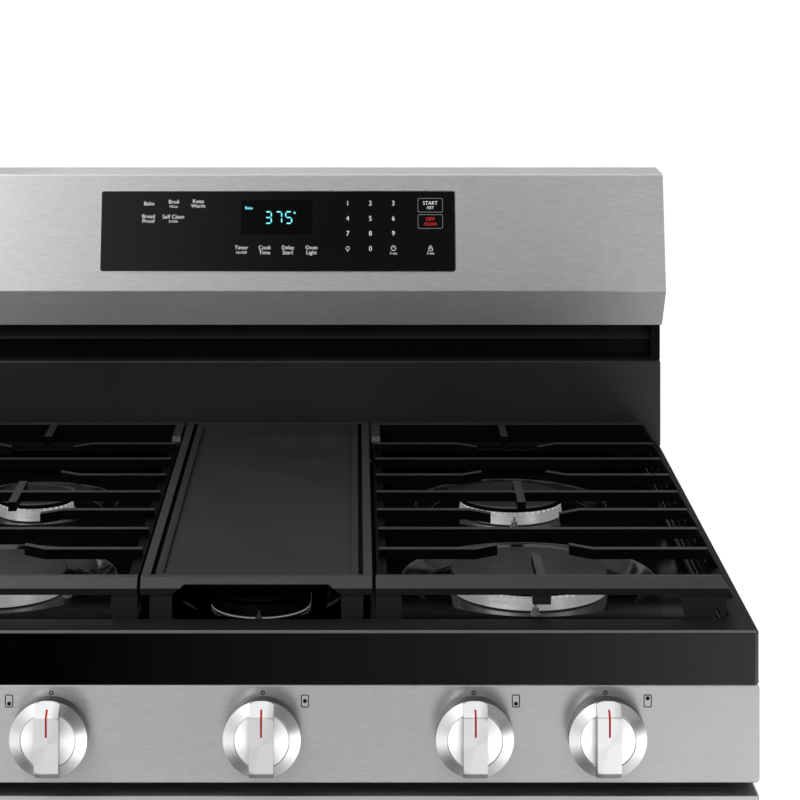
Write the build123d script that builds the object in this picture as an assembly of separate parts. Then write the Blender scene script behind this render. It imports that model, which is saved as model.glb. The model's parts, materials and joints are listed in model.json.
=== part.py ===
from build123d import *
import os

# Freestanding gas range, 30-inch class. Millimetres, +X right, +Y rear, +Z up.
# Origin: floor level, centre of the whole outline.

# ---------------------------------------------------------------- driving dimensions
WIDTH = 759.0
HEIGHT = 1186.0
FRONT = -290.0  # front plane: door, fascia and cooktop apron
REAR = 350.0
HANDLE_REACH = 60.0  # how far the door handle stands out from the front plane

# heights of the front, from the floor
FLOOR_GAP = 24.0
DRAWER_BOTTOM = 42.0
DRAWER_TOP = 196.0
DOOR_BOTTOM = 212.0
DOOR_TOP = 789.8
FASCIA_BOTTOM = 799.7
FASCIA_TOP = 873.4
APRON_BOTTOM = 873.6
RIM_TOP = 914.0

# sheet thicknesses and clearances
SHEET = 1.2
ENAMEL_SHEET = 2.0
FIT = 0.3

# cooktop
RIM_FRONT = 29.0
RIM_SIDE = 17.0
RECESS_DEPTH = 12.0
RECESS_REAR = 280.0
COOKTOP_REAR = 322.0
BOWL_DEPTH = 9.0
BOWL_REACH = 42.0  # bowl edge beyond the burner head
BOWL_SLOPE = 14.0
APRON_CORNER = 5.0

# burners: centre lines, ring sizes
BURNER_X = 219.0
BURNER_FRONT_Y = -111.0
BURNER_REAR_Y = 126.0
CENTRE_Y = (BURNER_FRONT_Y + BURNER_REAR_Y) / 2
RIGHT_FRONT_RING = 63.0
LEFT_FRONT_RING = 56.0
MEDIUM_RING = 46.0
SMALL_RING = 34.0
OVAL_RING = 40.0  # end radius of the oval centre burner
OVAL_LENGTH = 407.0
HEAD_HEIGHT = 11.2
HEAD_FLARE = 1.5
CAP_HEIGHT = 4.5
CAP_OVERHANG = 1.5
COLLAR_DEPTH = 5.0  # the ring under a cap that centres it in the head
PORT_WIDTH = 1.8
PORT_DEPTH = 2.4
PORT_PITCH = 6.0

# grates and griddle
GRATE_TOP = 942.8
GRATE_FRONT_Y = -246.5
GRATE_REAR_Y = 275.0
SIDE_GRATE_INNER = 91.5
SIDE_GRATE_OUTER = 366.0
CENTRE_GRATE_HALF = 88.9
BAR_PITCH = 59.3
BAR_WIDTH = 7.0
BAR_DEPTH = 8.0
GRIDDLE_THICK = 7.0
GRIDDLE_DISH = 3.5

# knobs
KNOB_Z = 839.0
KNOB_X = (-251.0, -152.4, 6.3, 164.7, 263.6)
KNOB_NAMES = ("left_rear", "left_front", "centre", "right_front", "right_rear")
KNOB_RADIUS = 29.0
KNOB_GAP = 4.0  # from the fascia to the back edge of the knob skirt
STEM_RADIUS = 4.0

# backguard
PANEL_FRONT = 296.0
PANEL_TOP = 999.0
HOUSING_BOTTOM = 1036.0
HOUSING_BREAK = (255.0, 1074.7)
HOUSING_FRONT_TOP = (280.5, 1186.0)
HOUSING_UNDER = (287.0, 1036.0)
HOUSING_REAR_Y = 337.0
GLASS_HALF = 173.7
GLASS_LOW = 19.6  # from the housing's break line, up the slope
GLASS_HIGH = 97.5
GLASS_THICK = 4.0

# oven
OVEN_HALF = 305.0
OVEN_BOTTOM = 255.0
OVEN_TOP = 735.0
OVEN_FRONT = -240.0
OVEN_REAR = 245.0
INSULATION = 38.0

# oven door
DOOR_HALF = 379.3
DOOR_BACK = -252.0
HINGE_Y = -268.0
HINGE_Z = 222.0
WINDOW_HALF = 250.0
WINDOW_LOW = 345.0
WINDOW_HIGH = 640.0
HANDLE_Z = 742.0
HANDLE_HALF = 345.0
HANDLE_RADIUS = 12.0
HANDLE_MOUNT_X = 310.0

# drawer
DRAWER_BOX_HALF = 318.0
DRAWER_REAR = 215.0


# ---------------------------------------------------------------- helpers
def block(x0, x1, y0, y1, z0, z1):
    """A box between two corners."""
    return Pos((x0 + x1) / 2, (y0 + y1) / 2, (z0 + z1) / 2) * Box(x1 - x0, y1 - y0, z1 - z0)


def post(x, y, z0, z1, radius):
    """A vertical round bar."""
    return Pos(x, y, (z0 + z1) / 2) * Cylinder(radius, z1 - z0)


def bar_y(x, z, y0, y1, radius):
    """A round bar that runs front to rear."""
    return Pos(x, (y0 + y1) / 2, z) * Rot(90, 0, 0) * Cylinder(radius, y1 - y0)


def bar_x(y, z, x0, x1, radius):
    """A round bar that runs left to right."""
    return Pos((x0 + x1) / 2, y, z) * Rot(0, 90, 0) * Cylinder(radius, x1 - x0)


def profile_x(points, x0, x1):
    """An outline in the YZ plane, drawn out from x0 to x1."""
    face = make_face(Polyline(*[(x0, y, z) for y, z in points], close=True))
    return extrude(face, amount=x1 - x0, dir=(1, 0, 0))


def profile_y(points, y0, y1):
    """An outline in the XZ plane, drawn out from y0 to y1."""
    face = make_face(Polyline(*[(x, y0, z) for x, z in points], close=True))
    return extrude(face, amount=y1 - y0, dir=(0, 1, 0))


def rounded_slab(x0, x1, y0, y1, z0, z1, radius):
    """A flat slab whose upright edges are rounded."""
    sketch = RectangleRounded(x1 - x0, y1 - y0, radius)
    return Pos((x0 + x1) / 2, (y0 + y1) / 2, z0) * extrude(sketch, z1 - z0)


def upright_slab(x0, x1, z0, z1, y0, y1, radius):
    """A slab that stands in the XZ plane, with rounded corners seen from the front."""
    sketch = RectangleRounded(x1 - x0, z1 - z0, radius)
    place = Location(((x0 + x1) / 2, y1, (z0 + z1) / 2), (90, 0, 0))
    return place * extrude(sketch, y1 - y0)


def tube(points, radius, bend):
    """A round rod along a path with rounded bends."""
    path = FilletPolyline(*points, radius=bend)
    return sweep((path ^ 0) * Circle(radius), path)


def joined(pieces):
    """One shape fused from a list."""
    first, *rest = pieces
    return first.fuse(*rest) if rest else first


def group(pieces):
    """Several separate solids held in one node."""
    return Compound(children=[solid for piece in pieces for solid in piece.solids()])


def mirrored(shape):
    """The shape on the other side of the centre plane."""
    return mirror(shape, about=Plane.YZ)


def both_sides(shape):
    """The shape and its mirror image, as a list."""
    return [shape, mirrored(shape)]


# ---------------------------------------------------------------- cooktop
RECESS_FLOOR = RIM_TOP - RECESS_DEPTH
BOWL_FLOOR = RECESS_FLOOR - BOWL_DEPTH
HALF = WIDTH / 2
OVAL_REACH = 25.0
HOLE_INSET = 13.0  # hole under a burner head, in from the head's outer edge
PIN_RADIUS = 2.8
PIN_GAP = 9.0
PIN_TURN = {"left_front": -22, "left_rear": -28, "right_front": -90, "right_rear": -90}

ROUND_BURNERS = {
    "left_front": (-BURNER_X, BURNER_FRONT_Y, LEFT_FRONT_RING),
    "left_rear": (-BURNER_X, BURNER_REAR_Y, SMALL_RING),
    "right_front": (BURNER_X, BURNER_FRONT_Y, RIGHT_FRONT_RING),
    "right_rear": (BURNER_X, BURNER_REAR_Y, MEDIUM_RING),
}


def oval(radius, length, z0, z1):
    """An oval block along the range's centre line."""
    sketch = Rot(0, 0, 90) * SlotOverall(length, 2 * radius)
    return Pos(0, CENTRE_Y, z0) * extrude(sketch, z1 - z0)


def oval_length(radius):
    """Overall length of an oval whose straight sides match the centre burner's."""
    return OVAL_LENGTH - 2 * OVAL_RING + 2 * radius


def recess(grow):
    """The sunken field of the cooktop, grown outward by one sheet when asked."""
    side = HALF - RIM_SIDE + grow
    floor = RECESS_FLOOR - grow
    field = rounded_slab(
        -side, side, FRONT + RIM_FRONT - grow, RECESS_REAR + grow, floor, RIM_TOP + 1, 12 + grow
    )
    return fillet(field.faces().sort_by(Axis.Z)[0].edges(), 4 + grow)


def bowls(grow):
    """The shallow burner bowls below the field."""
    low, high = BOWL_FLOOR - grow, RECESS_FLOOR
    shapes = []
    for x, y, ring in ROUND_BURNERS.values():
        rim = ring + BOWL_REACH + grow
        shapes.append(Pos(x, y, (low + high) / 2) * Cone(rim - BOWL_SLOPE, rim, high - low))
    rim = OVAL_RING + OVAL_REACH + grow
    wide = Pos(0, CENTRE_Y, high) * Rot(0, 0, 90) * SlotOverall(oval_length(rim), 2 * rim)
    narrow = Pos(0, CENTRE_Y, low) * Rot(0, 0, 90) * SlotOverall(oval_length(rim - 12), 2 * rim - 24)
    shapes.append(loft([narrow, wide]))
    return shapes


def burner_holes():
    """Holes through the bowls for the burner bases and the spark electrodes."""
    low = BOWL_FLOOR - 5
    holes = [post(x, y, low, RECESS_FLOOR, ring - HOLE_INSET) for x, y, ring in ROUND_BURNERS.values()]
    inner = OVAL_RING - HOLE_INSET
    holes.append(oval(inner, oval_length(inner), low, RECESS_FLOOR))
    holes += [post(x, y, low, RECESS_FLOOR, PIN_RADIUS + 0.4) for x, y in electrode_places()]
    return holes


def electrode_places():
    """One spark electrode stands beside each burner head."""
    places = []
    for name, (x, y, ring) in ROUND_BURNERS.items():
        spot = Pos(x, y, 0) * Rot(0, 0, PIN_TURN[name]) * Pos(ring + PIN_GAP, 0, 0)
        places.append((spot.position.X, spot.position.Y))
    return places + [(0, CENTRE_Y - OVAL_LENGTH / 2 - PIN_GAP)]


def make_cooktop():
    body = block(-HALF, HALF, FRONT, COOKTOP_REAR, APRON_BOTTOM, RIM_TOP)
    body = fillet(body.edges().filter_by(Axis.Z), APRON_CORNER)
    body = fillet(body.faces().sort_by(Axis.Z)[-1].edges(), 2.5)
    wall = ENAMEL_SHEET
    under = block(
        -HALF + wall, HALF - wall, FRONT + wall, COOKTOP_REAR - wall, APRON_BOTTOM - 1, RIM_TOP - wall
    )
    under = under - recess(wall) - bowls(wall)
    return body - recess(0) - bowls(0) - under - burner_holes()


# ---------------------------------------------------------------- burners
BASE_TOP = BOWL_FLOOR + 1.2
HEAD_TOP = BASE_TOP + HEAD_HEIGHT
HEAD_WALL = 9.0
BASE_BOTTOM = BOWL_FLOOR - 26.0
CAP_TOP = HEAD_TOP + CAP_HEIGHT


def make_burner_bases():
    """Base castings: a flange on the bowl floor and a throat through the hole."""
    bases = []
    for x, y, ring in ROUND_BURNERS.values():
        flange = post(x, y, BOWL_FLOOR, BASE_TOP, ring - 1)
        throat = post(x, y, BASE_BOTTOM, BOWL_FLOOR, ring - HOLE_INSET - 0.5)
        bases.append(flange + throat - post(x, y, BASE_BOTTOM - 1, BASE_TOP + 1, 9))
    inner = OVAL_RING - HOLE_INSET - 0.5
    flange = oval(OVAL_RING - 1, oval_length(OVAL_RING - 1), BOWL_FLOOR, BASE_TOP)
    throat = oval(inner, oval_length(inner), BASE_BOTTOM, BOWL_FLOOR)
    bases.append(flange + throat - oval(9, 120, BASE_BOTTOM - 1, BASE_TOP + 1))
    return group(bases)


def round_ports(x, y, ring):
    """Flame ports cut across the top edge of a round head."""
    count = round(2 * 3.1416 * ring / PORT_PITCH)
    cutter = block(ring - HEAD_WALL - 2, ring + 2, -PORT_WIDTH / 2, PORT_WIDTH / 2, -PORT_DEPTH, 1)
    return [Pos(x, y, HEAD_TOP) * Rot(0, 0, 360 * i / count) * cutter for i in range(count)]


def oval_ports():
    """Flame ports around the oval head: two straight sides and two round ends."""
    straight = OVAL_LENGTH / 2 - OVAL_RING
    reach = OVAL_RING + 2
    deep = OVAL_RING - HEAD_WALL - 2
    cutter = block(deep, reach, -PORT_WIDTH / 2, PORT_WIDTH / 2, -PORT_DEPTH, 1)
    ports = []
    rows = int(2 * straight / PORT_PITCH)
    for i in range(rows + 1):
        y = CENTRE_Y - straight + 2 * straight * i / rows
        for turn in (0, 180):
            ports.append(Pos(0, y, HEAD_TOP) * Rot(0, 0, turn) * cutter)
    for i in range(1, 12):
        for start, y in ((0, CENTRE_Y + straight), (180, CENTRE_Y - straight)):
            ports.append(Pos(0, y, HEAD_TOP) * Rot(0, 0, start + 15 * i) * cutter)
    return ports


def make_burner_heads():
    """Ring-shaped heads with a row of flame ports under the cap."""
    heads = []
    for x, y, ring in ROUND_BURNERS.values():
        outer = Pos(x, y, (BASE_TOP + HEAD_TOP) / 2) * Cone(ring + HEAD_FLARE, ring, HEAD_HEIGHT)
        hollow = post(x, y, BASE_TOP - 1, HEAD_TOP + 1, ring - HEAD_WALL)
        heads.append(outer - hollow - round_ports(x, y, ring))
    inner = OVAL_RING - HEAD_WALL
    outer = oval(OVAL_RING, OVAL_LENGTH, BASE_TOP, HEAD_TOP)
    heads.append(outer - oval(inner, oval_length(inner), BASE_TOP - 1, HEAD_TOP + 1) - oval_ports())
    return group(heads)


def make_round_cap(name):
    """A loose cap with a low crown and a ring that centres it in the head."""
    x, y, ring = ROUND_BURNERS[name]
    disc = post(x, y, HEAD_TOP, CAP_TOP, ring + CAP_OVERHANG)
    disc = fillet(disc.edges().sort_by(Axis.Z)[-1], 2)
    seat, low = ring - HEAD_WALL - FIT, HEAD_TOP - COLLAR_DEPTH
    return disc + (post(x, y, low, HEAD_TOP, seat) - post(x, y, low - 1, HEAD_TOP, seat - 3))


def make_oval_cap():
    rim = OVAL_RING + CAP_OVERHANG
    disc = oval(rim, oval_length(rim), HEAD_TOP, CAP_TOP)
    disc = fillet(disc.faces().sort_by(Axis.Z)[-1].edges(), 2)
    seat, low = OVAL_RING - HEAD_WALL - FIT, HEAD_TOP - COLLAR_DEPTH
    collar = oval(seat, oval_length(seat), low, HEAD_TOP)
    return disc + (collar - oval(seat - 3, oval_length(seat - 3), low - 1, HEAD_TOP))


def make_spark_electrodes():
    """Ceramic pins that pass up through the bowls, each with a thin steel tip."""
    pins = []
    for x, y in electrode_places():
        ceramic = post(x, y, BOWL_FLOOR - 18, HEAD_TOP - 6, PIN_RADIUS)
        shoulder = post(x, y, BOWL_FLOOR, BOWL_FLOOR + 1.5, PIN_RADIUS + 1)
        pins.append(ceramic + shoulder + post(x, y, HEAD_TOP - 6, HEAD_TOP - 2, 1))
    return group(pins)


# ---------------------------------------------------------------- grates and griddle
BAR_LOW = GRATE_TOP - BAR_DEPTH
RAIL_LOW = GRATE_TOP - 18.0
END_RUN = 8.5  # outer ends slope off over this distance, and drop by this much
END_DROP = 14.0
REAR_BAR_DEEP = 17.0
FOOT_TOP = GRATE_TOP - 12.0
FRONT_FOOT_Y = GRATE_FRONT_Y - 4.5
FINGER_GAP = 47.0  # bend of a finger, from the burner's centre line
TIP_GAP = 29.0
TIP_SHIFT = 12.0
FOOT_DEPTH = 8.0
GRATE_BAR_ROWS = [CENTRE_Y + BAR_PITCH * k for k in (-3, -2, -1, 0, 1, 2, 3)]
FULL_ROWS = (1, 3, 5)


def front_bar_outline():
    """Cross-section of a front bar: flat top, sloped face, lower band that leans back."""
    y, z = GRATE_FRONT_Y, GRATE_TOP
    return [(y - 2.5, z), (y + 3.5, z), (y + 3.5, z - 15.5), (y - 6, z - 13), (y - 8, z - 7.5)]


def outer_end(x_inner, y0, y1, low):
    """A bar that runs outward and slopes down to the outer rail."""
    out = SIDE_GRATE_OUTER
    points = [(x_inner, GRATE_TOP), (out - END_RUN, GRATE_TOP), (out, GRATE_TOP - END_DROP), (out, RAIL_LOW)]
    points += [(out - 9, RAIL_LOW), (out - 9, low), (x_inner, low)]
    return profile_y(points, y0, y1)


def finger_tip(x0, x1, y, shift):
    """The bent tip of a finger, seen from above."""
    half = BAR_WIDTH / 2
    outline = [(x0, y - half), (x0, y + half), (x1, y + shift + half), (x1, y + shift - half)]
    face = make_face(Polyline(*[(x, yy, BAR_LOW) for x, yy in outline], close=True))
    return extrude(face, amount=BAR_DEPTH, dir=(0, 0, 1))


def grate_row(index, y):
    """One row of the side grate: a full bar, or a finger from each side."""
    y0, y1 = y - BAR_WIDTH / 2, y + BAR_WIDTH / 2
    inner = SIDE_GRATE_INNER + 3
    if index in FULL_ROWS:
        return [outer_end(inner, y0, y1, BAR_LOW)]
    near_burner = BURNER_FRONT_Y if index < 3 else BURNER_REAR_Y
    shift = TIP_SHIFT if near_burner > y else -TIP_SHIFT
    return [
        outer_end(BURNER_X + FINGER_GAP, y0, y1, BAR_LOW),
        finger_tip(BURNER_X + FINGER_GAP, BURNER_X + TIP_GAP, y, shift),
        block(inner, BURNER_X - FINGER_GAP, y0, y1, BAR_LOW, GRATE_TOP),
        finger_tip(BURNER_X - FINGER_GAP, BURNER_X - TIP_GAP, y, shift),
    ]


def grate_foot(x0, x1, y0):
    """A straight foot from a bar down to the recess floor."""
    return block(x0, x1, y0, y0 + FOOT_DEPTH, RECESS_FLOOR, FOOT_TOP)


def outer_foot(y0):
    """A splayed foot at an outer corner, with a V-shaped notch beside a short claw."""
    out, floor, top = SIDE_GRATE_OUTER, RECESS_FLOOR, FOOT_TOP
    outline = [(out - 42, top), (out - 34, floor), (out - 18, floor), (out - 12, floor + 18)]
    outline += [(out - 8.5, floor + 7), (out - 5.5, floor + 7), (out - 5.5, top)]
    return profile_y(outline, y0, y0 + FOOT_DEPTH)


def front_bar(x0, x1):
    """The wide front bar, its outer end cut to the same slope as the other bars."""
    end = [(x1 - END_RUN, GRATE_TOP), (x1 + 1, GRATE_TOP - END_DROP - 1.65), (x1 + 1, GRATE_TOP + 1)]
    end.append((x1 - END_RUN, GRATE_TOP + 1))
    return profile_x(front_bar_outline(), x0, x1) - profile_y(end, GRATE_FRONT_Y - 9, GRATE_FRONT_Y + 12)


def side_grate():
    """The right-hand grate over two burners."""
    out, inn = SIDE_GRATE_OUTER, SIDE_GRATE_INNER
    front, rear, top = GRATE_FRONT_Y, GRATE_REAR_Y, GRATE_TOP
    pieces = [front_bar(inn, out), outer_end(inn, rear - 13, rear, top - REAR_BAR_DEEP)]
    for index, y in enumerate(GRATE_BAR_ROWS):
        pieces += grate_row(index, y)
    pieces.append(block(out - 9, out, front, rear, RAIL_LOW, top - END_DROP))
    pieces.append(block(inn + 1, inn + 9, front, rear, RAIL_LOW, BAR_LOW + 2))
    corner = [(rear - 75, BAR_LOW), (rear - 62, top), (rear, top), (rear, BAR_LOW)]
    pieces.append(profile_x(corner, inn, inn + 8))
    pieces.append(block(BURNER_X - 3.5, BURNER_X + 3.5, front + 1, front + 62, BAR_LOW, top))
    pieces.append(block(BURNER_X - 7, BURNER_X + 7, front - 4, front + 3, top - 21, BAR_LOW + 1))
    pieces.append(block(BURNER_X - 3.5, BURNER_X + 3.5, rear - 62, rear - 10, BAR_LOW, top))
    pieces.append(block(BURNER_X - 3.5, BURNER_X + 3.5, CENTRE_Y - 36, CENTRE_Y + 36, BAR_LOW, top))
    for y0 in (FRONT_FOOT_Y, rear - 10):
        pieces += [grate_foot(inn, inn + 20, y0), outer_foot(y0)]
    return joined(pieces)


def make_centre_grate():
    """The frame under the griddle: bevelled front bar with a notch, side rails, cross bars."""
    half, front, rear, top = CENTRE_GRATE_HALF, GRATE_FRONT_Y, GRATE_REAR_Y, GRATE_TOP
    notch = [(-55.5, top - 5), (55.5, top - 5), (71, top - 18), (-71, top - 18)]
    pieces = [profile_x(front_bar_outline(), -half, half) - profile_y(notch, front - 9, front + 4)]
    pieces.append(block(-half, half, rear - 8, rear, top - REAR_BAR_DEEP, top))
    seat = top - GRIDDLE_THICK - 0.1
    for y in GRATE_BAR_ROWS:
        pieces.append(block(-half, half, y - 4, y + 4, seat - 10, seat))
    rail = block(half - 7, half, front, rear, top - REAR_BAR_DEEP + 2, top)
    ledge = block(half - 18, half - 6, front, rear, seat - 5, seat)
    feet = [grate_foot(65, 82, y0) for y0 in (FRONT_FOOT_Y, rear - FOOT_DEPTH)]
    for piece in (rail, ledge, *feet):
        pieces += both_sides(piece)
    return joined(pieces)


def make_griddle():
    """Dished plate that rests on the cross bars: a border each side and a ramp at the rear."""
    half = CENTRE_GRATE_HALF - 7 - 3.6
    y0, y1 = GRATE_FRONT_Y + 4.1, GRATE_REAR_Y - 8.6
    plate = rounded_slab(-half, half, y0, y1, GRATE_TOP - GRIDDLE_THICK, GRATE_TOP, 2)
    low = GRATE_TOP - GRIDDLE_DISH
    dish = [(y0 + 3, GRATE_TOP + 1), (y0 + 3, low), (y1 - 18, low)]
    dish += [(y1 - 3, GRATE_TOP), (y1 - 3, GRATE_TOP + 1)]
    return plate - profile_x(dish, 6 - half, half - 6)


# ---------------------------------------------------------------- knobs and gas train
FASCIA_DEPTH = 38.0
BEZEL_RADIUS = 25.0
VALVE_FRONT = FRONT + 22.0
VALVE_REAR = FRONT + 50.0
ROTOR_RADIUS = 9.0
MANIFOLD_Y = -222.0
MANIFOLD_RADIUS = 9.0
TUBE_Z = 861.5
REGULATOR_X = -345.0
INLET_RADIUS = 9.5


def on_fascia(x, shape):
    """Turns a shape built along +Z so that it stands out from the fascia at a knob's axis."""
    return Location((x, FRONT, KNOB_Z), (90, 0, 0)) * shape


def make_knob(x):
    """Skirt ring, inner disc and a full-width grip bar with sloped ends."""
    big = KNOB_RADIUS
    outline = [(0, 6), (8, 6), (8, 14), (BEZEL_RADIUS + 0.7, 14), (BEZEL_RADIUS + 0.7, KNOB_GAP)]
    outline += [(big - 1.5, KNOB_GAP), (big, 8), (big, 19), (20.8, 22), (20.2, 21.2), (0, 21.2)]
    face = make_face(Polyline(*[(r, 0, h) for r, h in outline], close=True))
    body = revolve(face, Axis.Z, 360)
    side = [(-28.6, 15), (28.6, 15), (28.6, 19), (21, 32), (-21, 32), (-28.6, 19)]
    grip = profile_x(side, -9, 9)
    grip = fillet(grip.edges().filter_by(Axis.X).group_by(Axis.Z)[-1], 1.5)
    knob = body + (grip & Pos(0, 0, 20) * Cylinder(28.8, 40))
    bore = Pos(0, 0, 15) * Cylinder(STEM_RADIUS + 0.08, 22)
    flat = block(-5, 5, 2.88, 6, 3, 27)
    return on_fascia(x, knob - (bore - flat))


def make_valve_rotor(x):
    """The turning plug of a burner valve with its D-shaped stem."""
    stem = Pos(0, 0, 0) * Cylinder(STEM_RADIUS, 44) - block(-5, 5, 2.8, 6, 0, 23)
    plug = Pos(0, 0, -35) * Cylinder(ROTOR_RADIUS, 14) - block(-2, 2, -12, 12, -43, -34)
    return on_fascia(x, stem + Pos(0, 0, -25) * Cylinder(STEM_RADIUS, 8) + plug)


def make_knob_bezels():
    """One ring behind each knob, fixed to the fascia."""
    ring = Pos(0, 0, 3.25) * (Cylinder(BEZEL_RADIUS, 6.5) - Cylinder(12, 8))
    return group([on_fascia(x, ring) for x in KNOB_X])


def make_knob_fascia():
    """Stainless front panel with returned edges and a stem hole at each knob."""
    shell = block(-HALF, HALF, FRONT, FRONT + FASCIA_DEPTH, FASCIA_BOTTOM, FASCIA_TOP)
    shell = fillet(shell.edges().filter_by(Axis.Y), 3)
    shell = fillet(shell.faces().sort_by(Axis.Y)[0].edges(), 1.2)
    inner = upright_slab(
        -HALF + 1.5, HALF - 1.5, FASCIA_BOTTOM + 1.5, FASCIA_TOP - 1.5, FRONT + 1.5, FRONT + 60, 2
    )
    holes = [bar_y(x, KNOB_Z, FRONT - 1, FRONT + 3, 6) for x in KNOB_X]
    return shell - inner - holes


def make_burner_valves():
    """Brass valve bodies: a bored block, a rear nipple and a top outlet."""
    bodies = []
    for x in KNOB_X:
        body = block(x - 13, x + 13, VALVE_FRONT, VALVE_REAR, KNOB_Z - 13, KNOB_Z + 13)
        body += bar_y(x, KNOB_Z, VALVE_REAR, MANIFOLD_Y - 5, 4.2)
        body -= bar_y(x, KNOB_Z, FRONT + 27.9, FRONT + 42.1, ROTOR_RADIUS + 0.08)
        body -= bar_y(x, KNOB_Z, VALVE_FRONT - 1, FRONT + 30, STEM_RADIUS + 0.08)
        body -= post(x, VALVE_FRONT + 14, KNOB_Z + 8, KNOB_Z + 14, 2.5)
        bodies.append(body)
    return group(bodies)


def make_gas_manifold():
    """Steel pipe behind the fascia that runs on to the regulator at the rear."""
    path = [(KNOB_X[-1] + 40, MANIFOLD_Y, KNOB_Z), (REGULATOR_X, MANIFOLD_Y, KNOB_Z)]
    path.append((REGULATOR_X, 262, KNOB_Z))
    pipe = tube(path, MANIFOLD_RADIUS, 25) - tube(path, MANIFOLD_RADIUS - 2.2, 25)
    holes = [bar_y(x, KNOB_Z, MANIFOLD_Y - 12, MANIFOLD_Y, 4.3) for x in KNOB_X]
    plug = bar_x(MANIFOLD_Y, KNOB_Z, KNOB_X[-1] + 40, KNOB_X[-1] + 46, MANIFOLD_RADIUS + 2)
    return pipe - holes + plug


def make_pressure_regulator():
    """Regulator with a round diaphragm case and a threaded inlet that faces the rear."""
    body = block(REGULATOR_X - 16, REGULATOR_X + 16, 262.2, 322, KNOB_Z - 16, KNOB_Z + 16)
    body += post(REGULATOR_X, 290, KNOB_Z - 34, KNOB_Z - 16, 24)
    body += bar_y(REGULATOR_X, KNOB_Z, 322, 334, 14)
    body -= bar_y(REGULATOR_X, KNOB_Z, 312, 335, INLET_RADIUS)
    return body - bar_y(REGULATOR_X, KNOB_Z, 262, 300, 5)


def burner_targets():
    """Where each valve's tube ends, in the order of the knobs."""
    spots = [ROUND_BURNERS[name][:2] for name in ("left_rear", "left_front")]
    spots.append((KNOB_X[2], CENTRE_Y))
    return spots + [ROUND_BURNERS[name][:2] for name in ("right_front", "right_rear")]


def make_supply_tubes():
    """Aluminium tubes from the valves to the burner bases, each with an orifice fitting."""
    tubes = []
    for x, (bx, by) in zip(KNOB_X, burner_targets()):
        y = VALVE_FRONT + 14
        path = [(x, y, KNOB_Z + 13.1), (x, y, TUBE_Z), (x, by, TUBE_Z)]
        if abs(bx - x) > 20:
            path.append((bx, by, TUBE_Z))
        pipe = tube(path, 3.2, 5)
        tubes.append(pipe + post(bx, by, TUBE_Z - 5, TUBE_Z + 4.5, 6))
    return group(tubes)


# ---------------------------------------------------------------- backguard
SLOPE = Plane(
    origin=(0, HOUSING_BREAK[0], HOUSING_BREAK[1]),
    x_dir=(1, 0, 0),
    z_dir=(0, HOUSING_BREAK[1] - HOUSING_FRONT_TOP[1], HOUSING_FRONT_TOP[0] - HOUSING_BREAK[0]),
)
GLASS_MID = (GLASS_LOW + GLASS_HIGH) / 2
FRAME_FRONT = 312.2


def make_control_housing():
    """Stainless hood of the backguard: sloped face, under-slope and closed ends."""
    rear = HOUSING_REAR_Y
    outline = [(rear, HEIGHT), HOUSING_FRONT_TOP, HOUSING_BREAK, HOUSING_UNDER, (rear, HOUSING_BOTTOM)]
    body = profile_x(outline, -HALF, HALF)
    long_edges = body.edges().filter_by(Axis.X)
    body = fillet(long_edges.filter_by(lambda edge: edge.center().Y < rear - 1), 2)
    wall = 1.5
    inner = [(rear + 1, HEIGHT - wall), (HOUSING_FRONT_TOP[0] + 1.3, HEIGHT - wall)]
    inner += [(HOUSING_BREAK[0] + 1.7, HOUSING_BREAK[1] + 0.2)]
    inner += [(HOUSING_UNDER[0] + 0.8, HOUSING_BOTTOM + wall), (rear + 1, HOUSING_BOTTOM + wall)]
    hollow = profile_x(inner, -HALF + wall, HALF - wall)
    back_slot = block(-HALF + 3, HALF - 3, FRAME_FRONT - 0.5, rear + 1, HOUSING_BOTTOM - 1, HOUSING_BOTTOM + 3)
    window = RectangleRounded(2 * GLASS_HALF + 0.4, GLASS_HIGH - GLASS_LOW + 0.4, 2.7)
    window = SLOPE * Pos(0, GLASS_MID, -5) * extrude(window, 10)
    return body - hollow - window - back_slot


def make_touch_glass():
    """Flat black glass that fills the window of the housing, slightly proud of it."""
    pane = extrude(RectangleRounded(2 * GLASS_HALF, GLASS_HIGH - GLASS_LOW, 2.5), GLASS_THICK)
    pane = chamfer(pane.faces().sort_by(Axis.Z)[-1].edges(), 0.4)
    return SLOPE * Pos(0, GLASS_MID, 0.7 - GLASS_THICK) * pane


def make_control_board():
    """Circuit board behind the glass with its larger parts."""
    board = Pos(0, 0, 0.8) * Box(300, 60, 1.6)
    for x, y, length, height in ((-105, 0, 40, 14), (-40, 5, 55, 8), (45, -8, 30, 12), (110, 6, 24, 9)):
        board += Pos(x, y, -height / 2) * Box(length, 30, height)
    return SLOPE * Pos(0, GLASS_MID, -12) * board


def make_backguard_lower_panel():
    """Black enamelled panel between the cooktop and the vent slot."""
    low, high = RIM_TOP + 0.2, PANEL_TOP
    shell = block(-HALF, HALF, PANEL_FRONT, FRAME_FRONT - 0.3, low, high)
    shell = fillet(shell.edges().filter_by(Axis.Z).group_by(Axis.Y)[0], 3)
    shell = fillet(shell.edges().filter_by(Axis.X).group_by(Axis.Z)[-1].sort_by(Axis.Y)[0], 2.5)
    hollow = block(-HALF + 1.5, HALF - 1.5, PANEL_FRONT + 1.5, FRAME_FRONT, low - 1, high - 1.5)
    return shell - hollow


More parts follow.
